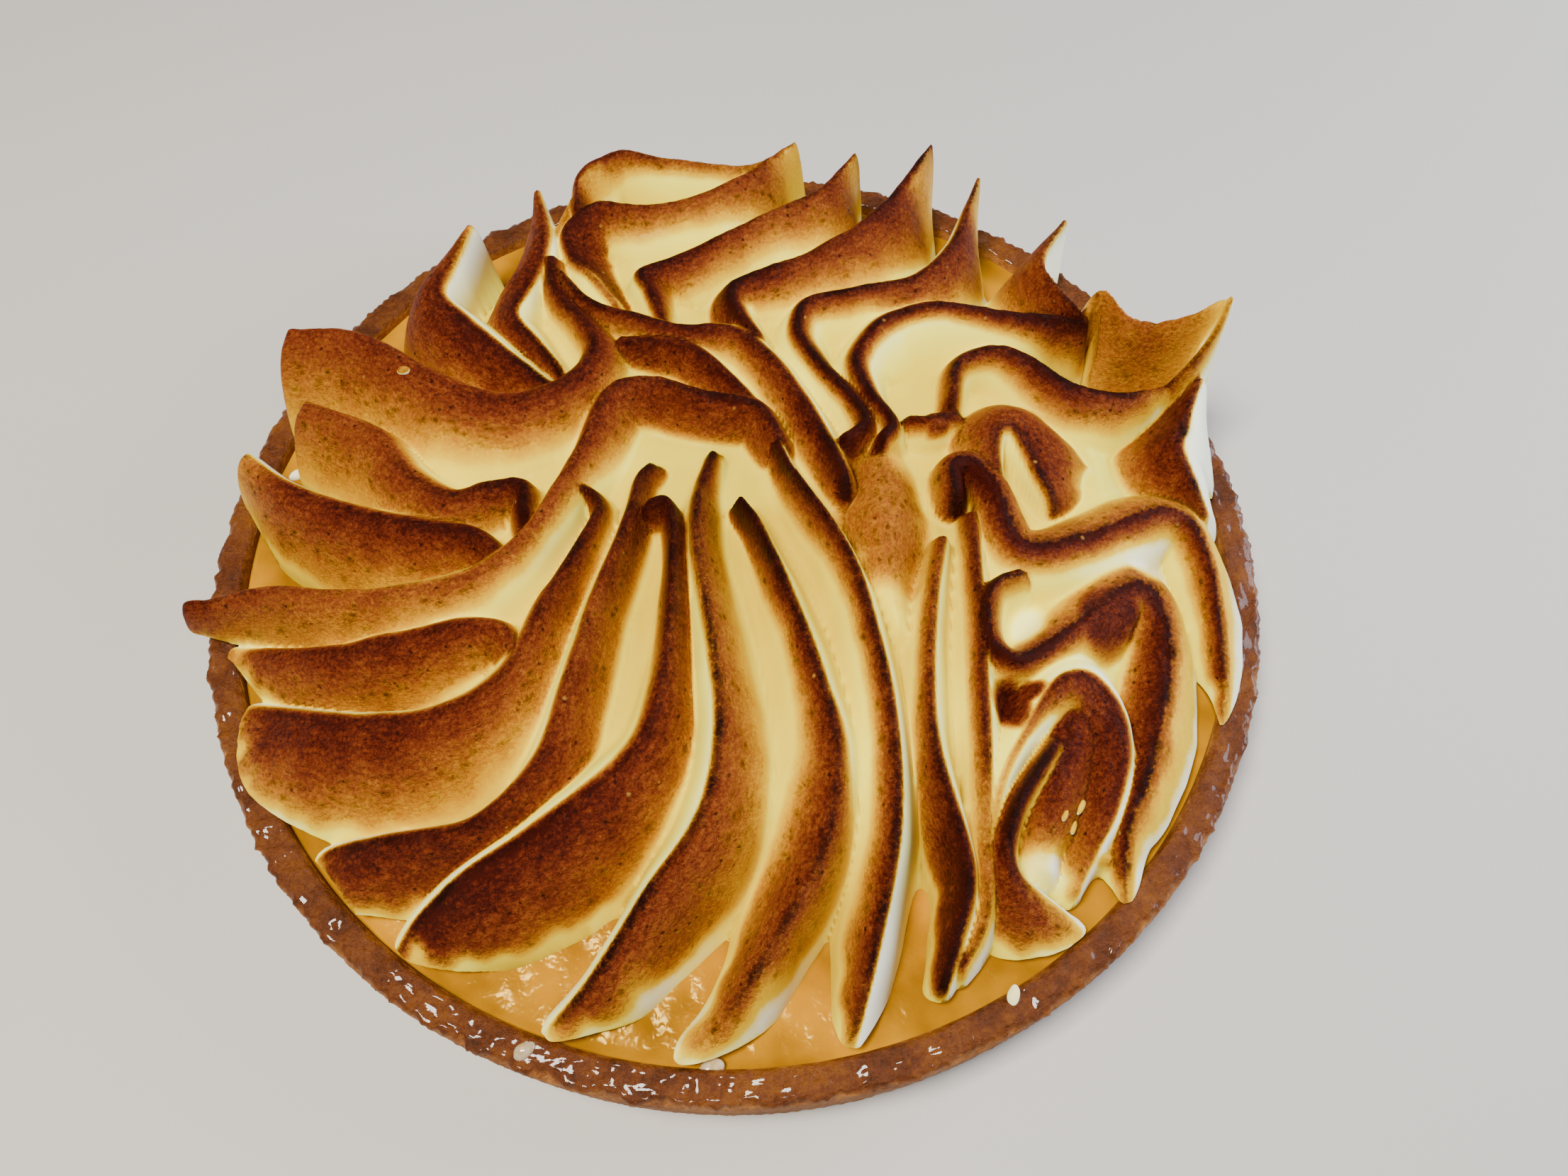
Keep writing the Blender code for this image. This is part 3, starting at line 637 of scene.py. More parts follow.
         ((50.5, -49), (46.3, -54), (43.2, -58), (41.2, -62), (40.3, -66), (41.3, -69.5), (44.5, -72.3),
          (48.5, -74.7), (53, -77.3), (58.5, -80.8)),
         (3, 4, 4, 4, 4, 4, 4, 3, 3, 2), (3, 3, 4, 5, 7, 10, 12, 11, 8, 3), (.5, .5, .8), (0,),
         Torch((1, 1.2, 1.5, 1.5, 1, .6, .5), (1.2, 1.5, 2, 3, 6, 9, 10, 8, 5, 2),
               (.8, .92, .95, .92, .86, .78, .68, .6, .52, .4), (.9, 1, 1, .9, .6, .3, .2, .1, .3))),
    Fold(Region.RIGHT,
         ((53, -69), (55.5, -66.5), (58, -66), (61, -67.5)),
         (3, 3.5, 3), (2, 2.5, 2), (.6,), (-2, -1, -1),
         Torch((2.5,), (1.5,), (.42, .48, .5), (0, .1, .3))),
    Fold(Region.RIGHT,
         ((47.5, 2), (47.8, 6), (49, 10), (52, 11), (54.3, 7), (55.5, 2), (57, -2)),
         (4, 7, 9, 9, 11, 12, 8), (2, 2.5, 3, 3, 2.5, 2.5, 2), (.8, .9), (0, 0, 0, -1, -2),
         Torch((4, 6, 8, 8, 10, 10, 6), (1,), (.7, .66, .72, .78, .82, .8, .66), (.8, .6, .4, .5, .8, .9, .6))),
    Fold(Region.RIGHT,
         ((91, 22), (87.5, 16), (84.8, 10), (82.5, 5), (84.3, -1), (86.5, -6)),
         (7, 11, 13, 14, 12, 9), (3, 7, 10, 11, 8, 3), (.4, .5, .5, .4), (3, 4, 5, 5, 4),
         Torch((.5,), (3, 7, 9, 9, 6, 2), (.6, .74, .8, .78, .7, .6), (.5, .8, 1, .9, .8, .5), -.08)),
    Fold(Region.WAVE,
         ((21, 10.5), (25, 14), (23, 20), (17, 29), (14, 37), (17, 43.5), (27, 45.5), (39, 48), (47, 56),
          (52, 67), (55, 74)),
         (3, 4, 5, 5, 5, 5, 5, 5, 4, 2), (3, 4, 5, 7, 8, 9, 10, 10, 7, 2), (.4, .3, .3, .4), (0,),
         Torch((1.5, 1.5, 1.2, 1, .7, .7), (2.5, 2, 2, 2.2, 2.5, 3, 5, 7, 5, 2),
               (1, .98, .95, .92, .86, .8, .75, .78, .78, .72, .5), (1, 1, 1, 1, .9, .7, .6, .7, .6))),
    Fold(Region.WAVE,
         ((28, 10), (30, 13.5), (26, 22), (25, 30), (32, 38), (42, 40.5), (55, 37.5), (65, 36), (70, 35),
          (66, 44), (64.5, 51), (71, 61)),
         (3, 4, 5, 6, 6, 5, 5, 6, 10, 9, 2), (3, 4, 8, 10, 11, 10, 8, 4, 3, 3, 2), (.4, .3, .3, .5), (0,),
         Torch((1.5, 1.5, 1.5, 1.2, 1.2, 1.5, 3, 7, 7, 2), (1.2, 1.2, 2, 2, 2, 2.5, 3, .5, .5, .5),
               (1, .98, .92, .86, .82, .84, .95, .98, .8, .72, .66, .5), (1, 1, .9, .7, .6, .6, 1, 1, .5, .5))),
    Fold(Region.WAVE,
         ((42, 19), (44, 26), (50, 29), (57, 27), (65, 20.5), (75, 18.5), (86, 22), (92, 26), (94.5, 30)),
         (3, 4, 5, 4, 3, 3, 3, 3, 2), (3, 4, 7, 9, 9, 9, 8, 5, 2), (.4,), (0, 0, 0, 0, 0, 17),
         Torch((2, 2, 2, 3, 3, 1, .5, .5), (1.5, 1.5, 2.5, 4, 5, 4, 2, 2, 1),
               (.75, .8, .85, .92, .88, .72, .6, .5, .3), (.7, .7, .8, 1, .9, .6, .3))),
    Fold(Region.WAVE,
         ((34, 15), (37, 14), (42, 15.5)),
         (3, 4, 3), (3, 4, 3), (.5,), (-2, -1, -2),
         Torch((2.5,), (1.5,), (.85,), (.6,))),
    Fold(Region.WAVE,
         ((70, 35), (73, 38.5), (78, 33), (84, 31.5), (90, 30.5), (95, 30)),
         (3, 4, 4, 4, 3), (2, 6, 9, 10, 7, 3), (.3,), (0, 5, 4, 4, 9, 17),
         Torch((.7,), (3, 6, 9, 10, 7, 2), (.36, .44, .52, .54, .4, .1), (.1,))),
    Fold(Region.REAR,
         ((6, 36), (3, 41), (1.5, 46), (4, 50), (14, 53.5), (24, 59), (33, 66), (40, 75), (46.5, 85)),
         (3, 5, 5, 5, 5, 5, 5, 5, 2), (4, 6, 8, 11, 13, 13, 12, 9, 2), (.3, .3, .4), (0,),
         Torch((4, 4, 3, 1, 1, 1, 1, 1), (1, 2, 4, 5, 7, 8, 9, 8, 3),
               (.95, .95, .9, .78, .75, .78, .82, .9, .7), (1, 1, 1, .8, .5, .5, .7, .9, .8))),
    Fold(Region.REAR,
         ((-12, 42), (-14.5, 50), (-16, 54), (-10, 56.5), (0, 61), (12, 67.5), (22, 73), (30, 83)),
         (3, 4, 4, 5, 5, 5, 5, 2), (3, 6, 10, 12, 13, 12, 9, 2), (.3, .3, .4), (-2, 0, 0),
         Torch((1,), (1, 4, 5, 5, 5, 6, 7, 3), (.9, .9, .85, .75, .65, .66, .72, .7), (.9, .9, .6, .4, .4, .6, .7))),
    Fold(Region.REAR,
         ((-22, 49), (-29, 58), (-31, 66), (-25, 72), (-14, 70.5), (-3, 73), (8, 79), (17.5, 87)),
         (3, 4, 5, 5, 5, 5, 5, 2), (4, 9, 9, 11, 12, 10, 7, 2), (.3, .3, .4), (-3, -1, 0, 0, 0),
         Torch((1,), (3, 8, 9, 5, 4, 4, 5, 2), (.9, .92, .88, .72, .62, .62, .66, .6), (.9, .6, .4, .3, .3))),
    Fold(Region.REAR,
         ((-29, 72), (-28, 81), (-20, 86.5), (-10, 83.5), (3, 80.5), (12, 82)),
         (4, 7, 8, 7, 3), (3, 8, 11, 11, 7, 2), (.3, .4, .4), (0,),
         Torch((1,), (3, 3, 2, 1.5, 1), (.8, .75, .6, .5, .45), (.5, .4, .2))),
    Fold(Region.REAR,
         ((20, 3), (17.5, 11), (13, 22), (8, 31), (2, 37), (-8, 38.5), (-18, 42), (-27, 47), (-33, 55)),
         (4, 6, 7, 7, 7, 7, 6, 5, 2), (3, 5, 5, 5, 5, 4, 4, 3, 2), (.4, .3, .3), (-1, 0, 0),
         Torch((3, 4, 4, 3.5, 3, 3, 3, 3, 2), (.8,), (1, .95, .85, .8, .82, .9, .82, .78, .6), (1, 1, .9, .6, .5, 1, .9, .7))),
    Fold(Region.REAR,
         ((4.5, 21), (1, 26), (-4, 32), (-10, 36), (-20, 37.5)),
         (4, 6, 6, 5, 3), (3, 4, 4, 4, 3), (.3,), (-2, -1, -2),
         Torch((3, 5, 6, 5, 3), (1,), (.85,), (.5,))),
    Fold(Region.REAR,
         ((-22, 48), (-26, 53), (-30, 58)),
         (3, 4, 3), (3, 4, 3), (.3,), (-2, -1, -2),
         Torch((.7,), (.7,), (.5,), (.2,))),
    Fold(Region.UPRIGHT,
         ((-33.5, 27), (-41, 34), (-50, 42.5), (-56, 50), (-54, 58), (-50.5, 67)),
         (3, 8, 12, 13, 10, 3), (3, 4, 5, 5, 4, 2), (.4, .7, .7), (-2, 0, 0),
         Torch((2, 8, 10, 11, 8, 3), (.5, .5, 1, 1, .5), (.85, .88, .9, .85, .7, .5), (.8, .5, .3, .3))),
    Fold(Region.UPRIGHT,
         ((-33, 33), (-37, 39), (-41, 44.5), (-39.5, 50.5), (-36.5, 58), (-35.5, 66), (-37, 76)),
         (3, 5, 8, 9, 9, 8, 3), (3, 4, 5, 5, 5, 4, 2), (.4, .6, .6), (-3, -1, 0),
         Torch((2, 4, 6, 7, 7, 7, 3), (.5, .5, 1, 1, .5), (.85, .85, .88, .85, .78, .65), (.8, .6, .5, .4))),
    Fold(Region.UPRIGHT,
         ((-35, 60), (-33, 68), (-30, 75)),
         (3, 3, 2), (3, 3, 2), (.4,), (-4, -3, -1),
         Torch((.7,), (.7,), (.4,), (.1,))),
)

SCORCHES = (
    Scorch((26.5, -4), (22, 10.5), 98.0, 0.5),
    Scorch((-17, 30), (5, 2.5), 20.0, 0.6),
    Scorch((44.2, -41.5), (6, 3.8), 95.0, 0.9),
    Scorch((47, -40), (4, 2.4), 20.0, 0.85),
    Scorch((63.5, -26.5), (10, 7.5), 35.0, 0.88),
    Scorch((39, 13.5), (4, 2.2), 30.0, 0.75),
    Scorch((49.5, -27), (6, 4), 60.0, -0.75),
    Scorch((73, -16.5), (5, 2.6), -30.0, -0.7),
    Scorch((47, -68), (7, 4.5), -20.0, -0.6),
    Scorch((0.5, 20.3), (9, 1.7), -17.0, 1.0),
    Scorch((7.8, 14.5), (3.6, 1.5), 105.0, 1.0),
    Scorch((18.4, 7.5), (6.5, 1.4), 106.0, 1.0),
    Scorch((31.6, -81), (2.4, 1.3), 70.0, 0.95),
    Scorch((-74, -59.5), (2.6, 1.5), 60.0, 0.95),
    Scorch((-62, -76), (3.2, 1.5), 40.0, 0.95),
)


@dataclass(frozen=True)
class Drop:
    """A small blob that lies on the pie.

    Attributes:
        place: Middle of the blob in plan.
        radii: Half lengths in plan, along and across.
        height: Height of its top above its foot.
        turn: Direction of its long side in degrees from +X.
        toast: Browning of its top.
    """

    place: tuple
    radii: tuple
    height: float
    turn: float = 0.0
    toast: float = 0.0


SPATTER = (
    Drop((40.0, -86.0), (1.7, 1.0), 0.7, 70.0, 0.08),
    Drop((-88, 24), (1.6, 1.2), 1.2, 20.0),
    Drop((-61, 31), (1.2, 0.9), 0.8, 0.0, 0.4),
    Drop((54.5, -58), (1.4, 0.7), 0.8, 60.0, 0.2),
    Drop((53, -61), (1.3, 0.6), 0.7, 70.0, 0.22),
    Drop((51, -60), (1.0, 0.5), 0.6, 60.0, 0.25),
)
BEADS = (
    Drop((-38, -89), (1.9, 1.2), 0.7, 30.0),
    Drop((-9, -93.5), (2.2, 1.4), 0.9, 10.0),
    Drop((-83, 52), (1.5, 1.2), 0.9, 0.0),
    Drop((-3, 96), (2.2, 1.7), 1.5, 20.0),
    Drop((5, 96.5), (1.6, 1.3), 1.2, 0.0),
)


@dataclass
class Meringue:
    """The swirled meringue: one closed surface of folds over a low floor.

    Attributes:
        rim: Level of the crust's rim above the underside.
        curd: Level of the curd's surface.
        rim_inner: Inner radius of the rim.
        step: Spacing of the sheet's points.
        span: Half width of the sheet before it is cut.
    """

    rim: float
    curd: float
    rim_inner: float = 94.0
    step: float = 0.55
    span: float = 107.0
    dome: float = 23.0
    dome_reach: float = 97.0
    dome_power: float = 3.2
    rear: float = 20.0
    floor_high: float = 11.0
    floor_low: float = -7.0
    floor_edge: float = 52.0
    floor_width: float = 28.0
    soft: float = 0.55
    tip: float = 4.0
    edge_round: float = 0.5
    seat: float = 86.0
    seat_rise: float = 3.7
    seat_slope: float = 0.15

    def crest_level(self, x: np.ndarray, y: np.ndarray) -> np.ndarray:
        """Level of the crests: a front arch 1 - r^power that turns into a flat rear crown."""
        radius = np.hypot(x, y)
        rear = ease((y / np.maximum(radius, 1e-6) + 0.3) / 0.9)
        arch = self.dome * (1.0 - np.clip(radius / self.dome_reach, 0.0, 1.0) ** self.dome_power)
        arch = arch - 2.0 * ease((radius - 80.0) / 15.0)
        crown = self.rear * (1.0 - 0.3 * ease((radius - 97.0) / 5.0))
        return arch * (1.0 - rear) + crown * rear

    def floor_level(self, x: np.ndarray, y: np.ndarray) -> np.ndarray:
        """Level of the valleys: high in the middle, eased down under the curd near the wall."""
        radius = np.hypot(x, y)
        bearing = np.degrees(np.arctan2(y, x))
        right = ease(1.0 - np.abs(bearing + 8.0) / 55.0)
        rear = ease((np.sin(np.radians(bearing)) - 0.2) / 0.6)
        edge = self.floor_edge + 16.0 * right + 12.0 * rear
        drop = self.floor_low - self.floor_high
        return self.floor_high + drop * ease((radius - edge) / self.floor_width)

    def curve(self, path: tuple, steps: int = 10) -> np.ndarray:
        """Catmull-Rom curve through the path's points, cut into short straight runs."""
        p = np.asarray(path, float)
        p = np.vstack([2 * p[0] - p[1], p, 2 * p[-1] - p[-2]])
        u = np.linspace(0.0, 1.0, steps, endpoint=False)[:, None]
        pieces = []
        for a, b, c, d in zip(p[:-3], p[1:-2], p[2:-1], p[3:]):
            bend = (2 * a - 5 * b + 4 * c - d) * u**2 + (-a + 3 * b - 3 * c + d) * u**3
            pieces.append(0.5 * (2 * b + (c - a) * u + bend))
        pieces.append(p[-2][None])
        return np.vstack(pieces)

    def along(self, curve: np.ndarray, x: np.ndarray, y: np.ndarray) -> tuple:
        """Where every point lies beside a crest.

        Each point takes the nearest straight run of the curve. Past an end, the distance is
        split into a part across the end's direction and an overrun along it.

        Args:
            curve: Points of the crest.
            x: Plan coordinates of the points.
            y: Plan coordinates of the points.

        Returns:
            Share along the curve, signed distance (left positive), overrun, marks and length.
        """
        runs = np.diff(curve, axis=0)
        lengths = np.hypot(runs[:, 0], runs[:, 1])
        starts = np.concatenate([[0.0], np.cumsum(lengths)])
        nearest = np.full(len(x), 1e9)
        share, side, over = np.zeros(len(x)), np.zeros(len(x)), np.zeros(len(x))
        for i, ((ax, ay), (dx, dy), length) in enumerate(zip(curve[:-1], runs, lengths)):
            raw = ((x - ax) * dx + (y - ay) * dy) / length**2
            k = np.clip(raw, 0.0, 1.0)
            distance = np.hypot(x - ax - k * dx, y - ay - k * dy)
            across = (dx * (y - ay) - dy * (x - ax)) / length
            past = np.zeros(len(x))
            if i == 0:
                past = np.maximum(past, -raw * length)
            if i == len(lengths) - 1:
                past = np.maximum(past, (raw - 1.0) * length)
            closer = distance < nearest
            nearest = np.where(closer, distance, nearest)
            share = np.where(closer, (starts[i] + k * length) / starts[-1], share)
            side = np.where(closer, np.where(past > 0.0, across, np.sign(across) * distance), side)
            over = np.where(closer, past, over)
        return share, side, over, starts / starts[-1], starts[-1]

    def fields(self, x: np.ndarray, y: np.ndarray) -> dict:
        """Level and browning of the sheet.

        The level is the soft maximum, soft * log(sum of exp(level / soft)), of the floor and
        of every fold. A fold falls from its crest to the floor as (1 - u^p)^q, where u is
        the distance as a share of its width. Each fold's browning counts with the same
        weight as its level: full beside the crest, and eased to 0 past its browned width.

        Args:
            x: Plan coordinates of the points.
            y: Plan coordinates of the points.

        Returns:
            Arrays named level, toast, char, hollow and flow.
        """
        wander = 0.7 * swell(x, y, 8.0, 11) + 0.3 * swell(x, y, 3.0, 12)
        base = self.floor_level(x, y)
        total = np.exp((base - 30.0) / self.soft)
        toast, char = np.zeros(len(x)), np.zeros(len(x))
        best, flow = base.copy(), np.zeros((len(x), 3))
        for index, fold in enumerate(FOLDS):
            curve = self.curve(fold.path)
            reach = max(fold.left + fold.right) + self.tip
            low, high = curve.min(axis=0) - reach, curve.max(axis=0) + reach
            near = np.nonzero((x > low[0]) & (x < high[0]) & (y > low[1]) & (y < high[1]))[0]
            share, side, over, marks, length = self.along(curve, x[near], y[near])
            at_x, at_y = (np.interp(share, marks, curve[:, i]) for i in (0, 1))
            crest = self.crest_level(at_x, at_y) + spread(fold.lift, share)
            is_left = side >= 0.0
            width = np.where(is_left, spread(fold.left, share), spread(fold.right, share))
            plump = spread(fold.fullness, share)
            rounded = np.hypot(side, self.edge_round) - self.edge_round
            fall = np.clip(np.hypot(rounded / width, over / self.tip), 0.0, 1.0)
            shape = (1.0 - fall ** (1.1 + 1.1 * plump)) ** (1.5 - 0.85 * plump)
            level = base[near] + (crest - base[near]) * shape
            weight = np.exp((level - 30.0) / self.soft)
            total[near] += weight

            torch = fold.torch
            browned = np.where(is_left, spread(torch.left, share), spread(torch.right, share)) + 0.1
            inside = 1.0 - ease((np.abs(side) / browned + 0.06 * wander[near] - 0.15) / 1.7)
            tone = spread(torch.tone, share) * np.where(is_left, 1.0 + torch.balance, 1.0 - torch.balance)
            tone = tone * (1.0 + 0.08 * np.exp(-(side / 1.6) ** 2)) * inside * ease(shape / 0.4)
            toast[near] += weight * tone
            edge = spread(torch.char, share) * np.exp(-(side / 0.85) ** 2) * ease(shape / 0.6)
            char[near] += weight * edge * (0.75 + 0.35 * wander[near])
            owns = level > best[near]
            mine = near[owns]
            flow[mine] = np.stack([share * length * 0.5, side, np.full(len(share), 40.0 * index)], 1)[owns]
            best[mine] = level[owns]
        level = 30.0 + self.soft * np.log(total)
        # hollow is the depth below the crests; it paints the butter-yellow glow of the hollows
        hollow = 0.16 + 0.84 * np.clip((self.crest_level(x, y) - level) / 11.0, 0.0, 1.0)
        return {"level": level, "toast": toast / total, "char": char / total, "hollow": hollow,
                "flow": flow * MM}

    def scorched(self, x: np.ndarray, y: np.ndarray, toast: np.ndarray, hollow: np.ndarray) -> tuple:
        """Add the extra patches: each fades from its middle as 1 - d, d in its radii.

        A bare patch also takes the painted butter-yellow glow away, which leaves it white.
        """
        for spot in SCORCHES:
            turn = math.radians(spot.turn)
            dx, dy = x - spot.centre[0], y - spot.centre[1]
            along = (dx * math.cos(turn) + dy * math.sin(turn)) / spot.radii[0]
            across = (dy * math.cos(turn) - dx * math.sin(turn)) / spot.radii[1]
            amount = ease(1.8 * (1.0 - np.hypot(along, across) + 0.06 * swell(x, y, 6.0, 23)))
            if spot.strength > 0.0:
                toast = np.maximum(toast, spot.strength * amount)
            else:
                toast = toast * (1.0 + spot.strength * amount)
                hollow = hollow * (1.0 + spot.strength * amount)
        return toast, hollow

    def surface_level(self, x: float, y: float) -> float:
        """Level above the underside of whatever is on top at a place: meringue, curd or rim."""
        level = self.rim + float(self.fields(np.array([x]), np.array([y]))["level"][0])
        under = self.rim if math.hypot(x, y) > self.rim_inner else self.curd
        return max(level, under)

    def block(self) -> bpy.types.Mesh:
        """The sheet z = rim + level(x, y) on a square grid, closed by four walls and a bottom.

        The sheet is pushed along its normals by a soft relief, so that steep walls bulge too:
        0.5 mm over 12 mm everywhere, and in the browned skin 0.15 mm wrinkles and finer grain.
        """
        count = int(2 * self.span / self.step) + 1
        line = np.linspace(-self.span, self.span, count)
        x, y = (a.ravel() for a in np.meshgrid(line, line))
        found = self.fields(x, y)
        z = self.rim + found["level"]
        slope_y, slope_x = np.gradient(z.reshape(count, count), line, line)
        normal = np.stack([-slope_x.ravel(), -slope_y.ravel(), np.ones(count * count)], axis=1)
        normal /= np.linalg.norm(normal, axis=1)[:, None]
        skin = ease((found["toast"] - 0.3) / 0.4)
        relief = 0.45 * swell(x, y, 12.0, 6, z) + 0.15 * swell(x, y, 3.0, 5, z) * (0.3 + 0.7 * skin)
        relief += 0.06 * swell(x, y, 1.7, 7, z) * skin
        # neighbours on a cliff lie one grid step apart in plan, so the push sideways stays small
        relief *= 1.0 - 0.75 * np.hypot(normal[:, 0], normal[:, 1])
        top = np.stack([x, y, z], axis=1) + normal * relief[:, None]
        number = np.arange(count * count).reshape(count, count)
        loop = np.concatenate([number[0, :-1], number[:-1, -1], number[-1, :0:-1], number[:0:-1, 0]])
        under = np.arange(len(loop)) + len(top)
        foot = top[loop].copy()
        foot[:, 2] = 0.0
        walls = np.stack([loop, under, np.roll(under, -1), np.roll(loop, -1)], axis=1)
        faces = grid_faces(count, count, False).tolist() + walls.tolist() + [under[::-1].tolist()]
        return make_mesh("meringue_block", np.vstack([top, foot]), faces)

    def tray(self) -> bpy.types.Mesh:
        """The turned body that cuts the underside: flat on the curd, eased up over the rim."""
        share = np.linspace(0.0, 1.0, 9)
        radius = np.concatenate([[40.0, 70.0], self.seat + 7.0 * share, [self.seat + 14.0, 170.0]])
        rise = np.concatenate([[0.0, 0.0], self.seat_rise * ease(share),
                               self.seat_rise + self.seat_slope * np.array([7.0, 77.0])])
        level = self.curd - 0.2 + rise
        turn = np.linspace(0.0, 2.0 * math.pi, 240, endpoint=False)
        radius = np.concatenate([radius, [170.0]])
        level = np.concatenate([level, [-20.0]])
        ring = np.stack([np.outer(radius, np.cos(turn)), np.outer(radius, np.sin(turn)),
                         np.repeat(level[:, None], len(turn), 1)], axis=-1)
        sides = grid_faces(len(radius), len(turn), True)[:, ::-1].tolist()
        first = list(range(len(turn)))
        last = [(len(radius) - 1) * len(turn) + i for i in first]
        return make_mesh("tray", ring.reshape(-1, 3), sides + [first] + [last[::-1]])

    def build(self, finish: TorchedMeringue) -> bpy.types.Object:
        """Cut the block with the tray, paint the browning and dress the piece."""
        scene = bpy.context.scene.collection
        block = bpy.data.objects.new("block", self.block())
        tray = bpy.data.objects.new("tray", self.tray())
        scene.objects.link(block)
        scene.objects.link(tray)
        cut = block.modifiers.new("underside", "BOOLEAN")
        cut.operation, cut.solver, cut.object = "DIFFERENCE", "EXACT", tray
        mesh = bpy.data.meshes.new_from_object(block.evaluated_get(bpy.context.evaluated_depsgraph_get()))
        bpy.data.objects.remove(block)
        bpy.data.objects.remove(tray)
        mesh.name = "meringue_swirls"

        points = points_of(mesh)
        x, y, z = points.T
        found = self.fields(x, y)
        toast, hollow = self.scorched(x, y, found["toast"], found["hollow"])
        # faces turned to the right stay whiter, most of all near the rim: partly the lee side of every fold, away
        # from the flame, and partly painted cool light from the right
        facing = np.empty(len(points) * 3)
        mesh.vertex_normals.foreach_get("vector", facing)
        lee_and_right_light = ease((facing[::3] - 0.15) / 0.5) * (0.35 + 0.6 * ease((np.hypot(x, y) - 55.0) / 30.0))
        # the flame never reaches the foot of a fold, where it stands on the curd
        above = ease((z - self.curd - 1.5 + swell(x, y, 6.0, 31)) / 6.0)
        outer = ease((np.hypot(x, y) - 78.0) / 8.0)
        paint(mesh, "toast", toast * above * (1.0 - 0.6 * lee_and_right_light * outer))
        paint(mesh, "char", found["char"] * above)
        # painted light: outer faces turned to the back lose the butter yellow and are painted whiter, which lifts
        # their shade
        rear = 0.85 * ease((facing[1::3] - 0.15) / 0.5) * ease((np.hypot(x, y) - 66.0) / 14.0)
        paint(mesh, "hollow", hollow * (1.0 - np.maximum(lee_and_right_light, rear)))
        paint(mesh, "flow", found["flow"])
        piece = make_piece("meringue_swirls", mesh)
        mesh.materials.append(finish.material())
        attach(piece, BODY)
        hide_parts("meringue")
        LOG.info("meringue: %d faces", len(mesh.polygons))
        return piece


# ---------------------------------------------------------------------------
# crust and curd
# ---------------------------------------------------------------------------

@dataclass
class Crust:
    """The pastry case: a turned section whose rim is ragged and whose wall is sandy.

    Attributes:
        radius: Outer radius of the rim.
        height: Level of the rim.
        wall: Thickness of the wall.
        base: Thickness of the bottom.
        turns: Points round the ring.
    """

    radius: float
    height: float
    wall: float = 6.0
    base: float = 5.0
    turns: int = 1200

    def section(self) -> np.ndarray:
        """Radius and level along the section, from the bore over the rim to the middle below."""
        inner, outer, top = self.radius - self.wall, self.radius, self.height
        bend = np.linspace(0.0, 1.0, 7)[1:-1] * math.pi / 2.0
        lip = 1.2
        inside = np.stack([inner + lip * (1 - np.cos(bend)), top - lip * (1 - np.sin(bend))], 1)
        outside = np.stack([outer - lip * (1 - np.sin(bend)), top - lip * (1 - np.cos(bend))], 1)
        flat = np.stack([np.linspace(inner + lip, outer - lip, 12), np.full(12, top)], 1)
        wall = np.stack([outer - 0.6 * np.linspace(0.0, 1.0, 20), np.linspace(top - lip, 1.0, 20)], 1)
        start = np.array([[inner - 0.5, self.base + 1.5], [inner, self.height - 5.0], [inner, top - lip]])
        foot = np.array([[outer - 0.9, 0.3], [outer - 1.6, 0.0], [outer - 8.0, 0.0]])
        return np.vstack([start, inside, flat, outside, wall, foot])

    def build(self, finish: BakedPastry) -> bpy.types.Object:
        """Carry the section round, roughen it and close it below and in the bore."""
        section = self.section()
        turn = np.linspace(0.0, 2.0 * math.pi, self.turns, endpoint=False) + 0.5 * math.pi
        r = np.repeat(section[:, :1], self.turns, 1)
        z = np.repeat(section[:, 1:], self.turns, 1)
        x, y = r * np.cos(turn), r * np.sin(turn)
        # the rim is torn: its edge wanders by half a millimetre and its top is lumpy
        outward = ease((r - self.radius + 2.5) / 2.0)
        upper = ease((z - self.height + 3.0) / 3.0)
        ragged = 0.45 * swell(x, y, 5.0, 41, z * 0.3) + 0.3 * swell(x, y, 1.6, 42, z * 0.6)
        r = r + (ragged - 0.35) * outward * upper + 0.12 * swell(x, y, 1.8, 43, z) * outward
        z = z + (0.22 * swell(x, y, 5.0, 44) + 0.06 * swell(x, y, 1.8, 45) - 0.2) * upper
        points = np.stack([r * np.cos(turn), r * np.sin(turn), np.maximum(z, 0.0)], -1).reshape(-1, 3)
        sides = grid_faces(len(section), self.turns, True)[:, ::-1].tolist()
        first = list(range(self.turns))
        last = [(len(section) - 1) * self.turns + i for i in first]
        mesh = make_mesh("pastry_case", points, sides + [first] + [last[::-1]])
        piece = make_piece("pastry_case", mesh)
        flat_r = np.hypot(points[:, 0], points[:, 1])
        glaze = ease((points[:, 2] - self.height + 1.6) / 1.2) * ease((flat_r - 90.0) / 2.0)
        paint(mesh, "glaze", glaze)
        # glaze flows round the rim, so its waves are four times as long that way
        arc = np.tile(0.25 * self.radius * turn, len(section))
        paint(mesh, "around", np.stack([arc, flat_r, points[:, 2]], 1) * MM)
        mesh.materials.append(finish.material())
        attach(piece, BODY)
        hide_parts("crust")
        LOG.info("crust: %d faces", len(mesh.polygons))
        return piece


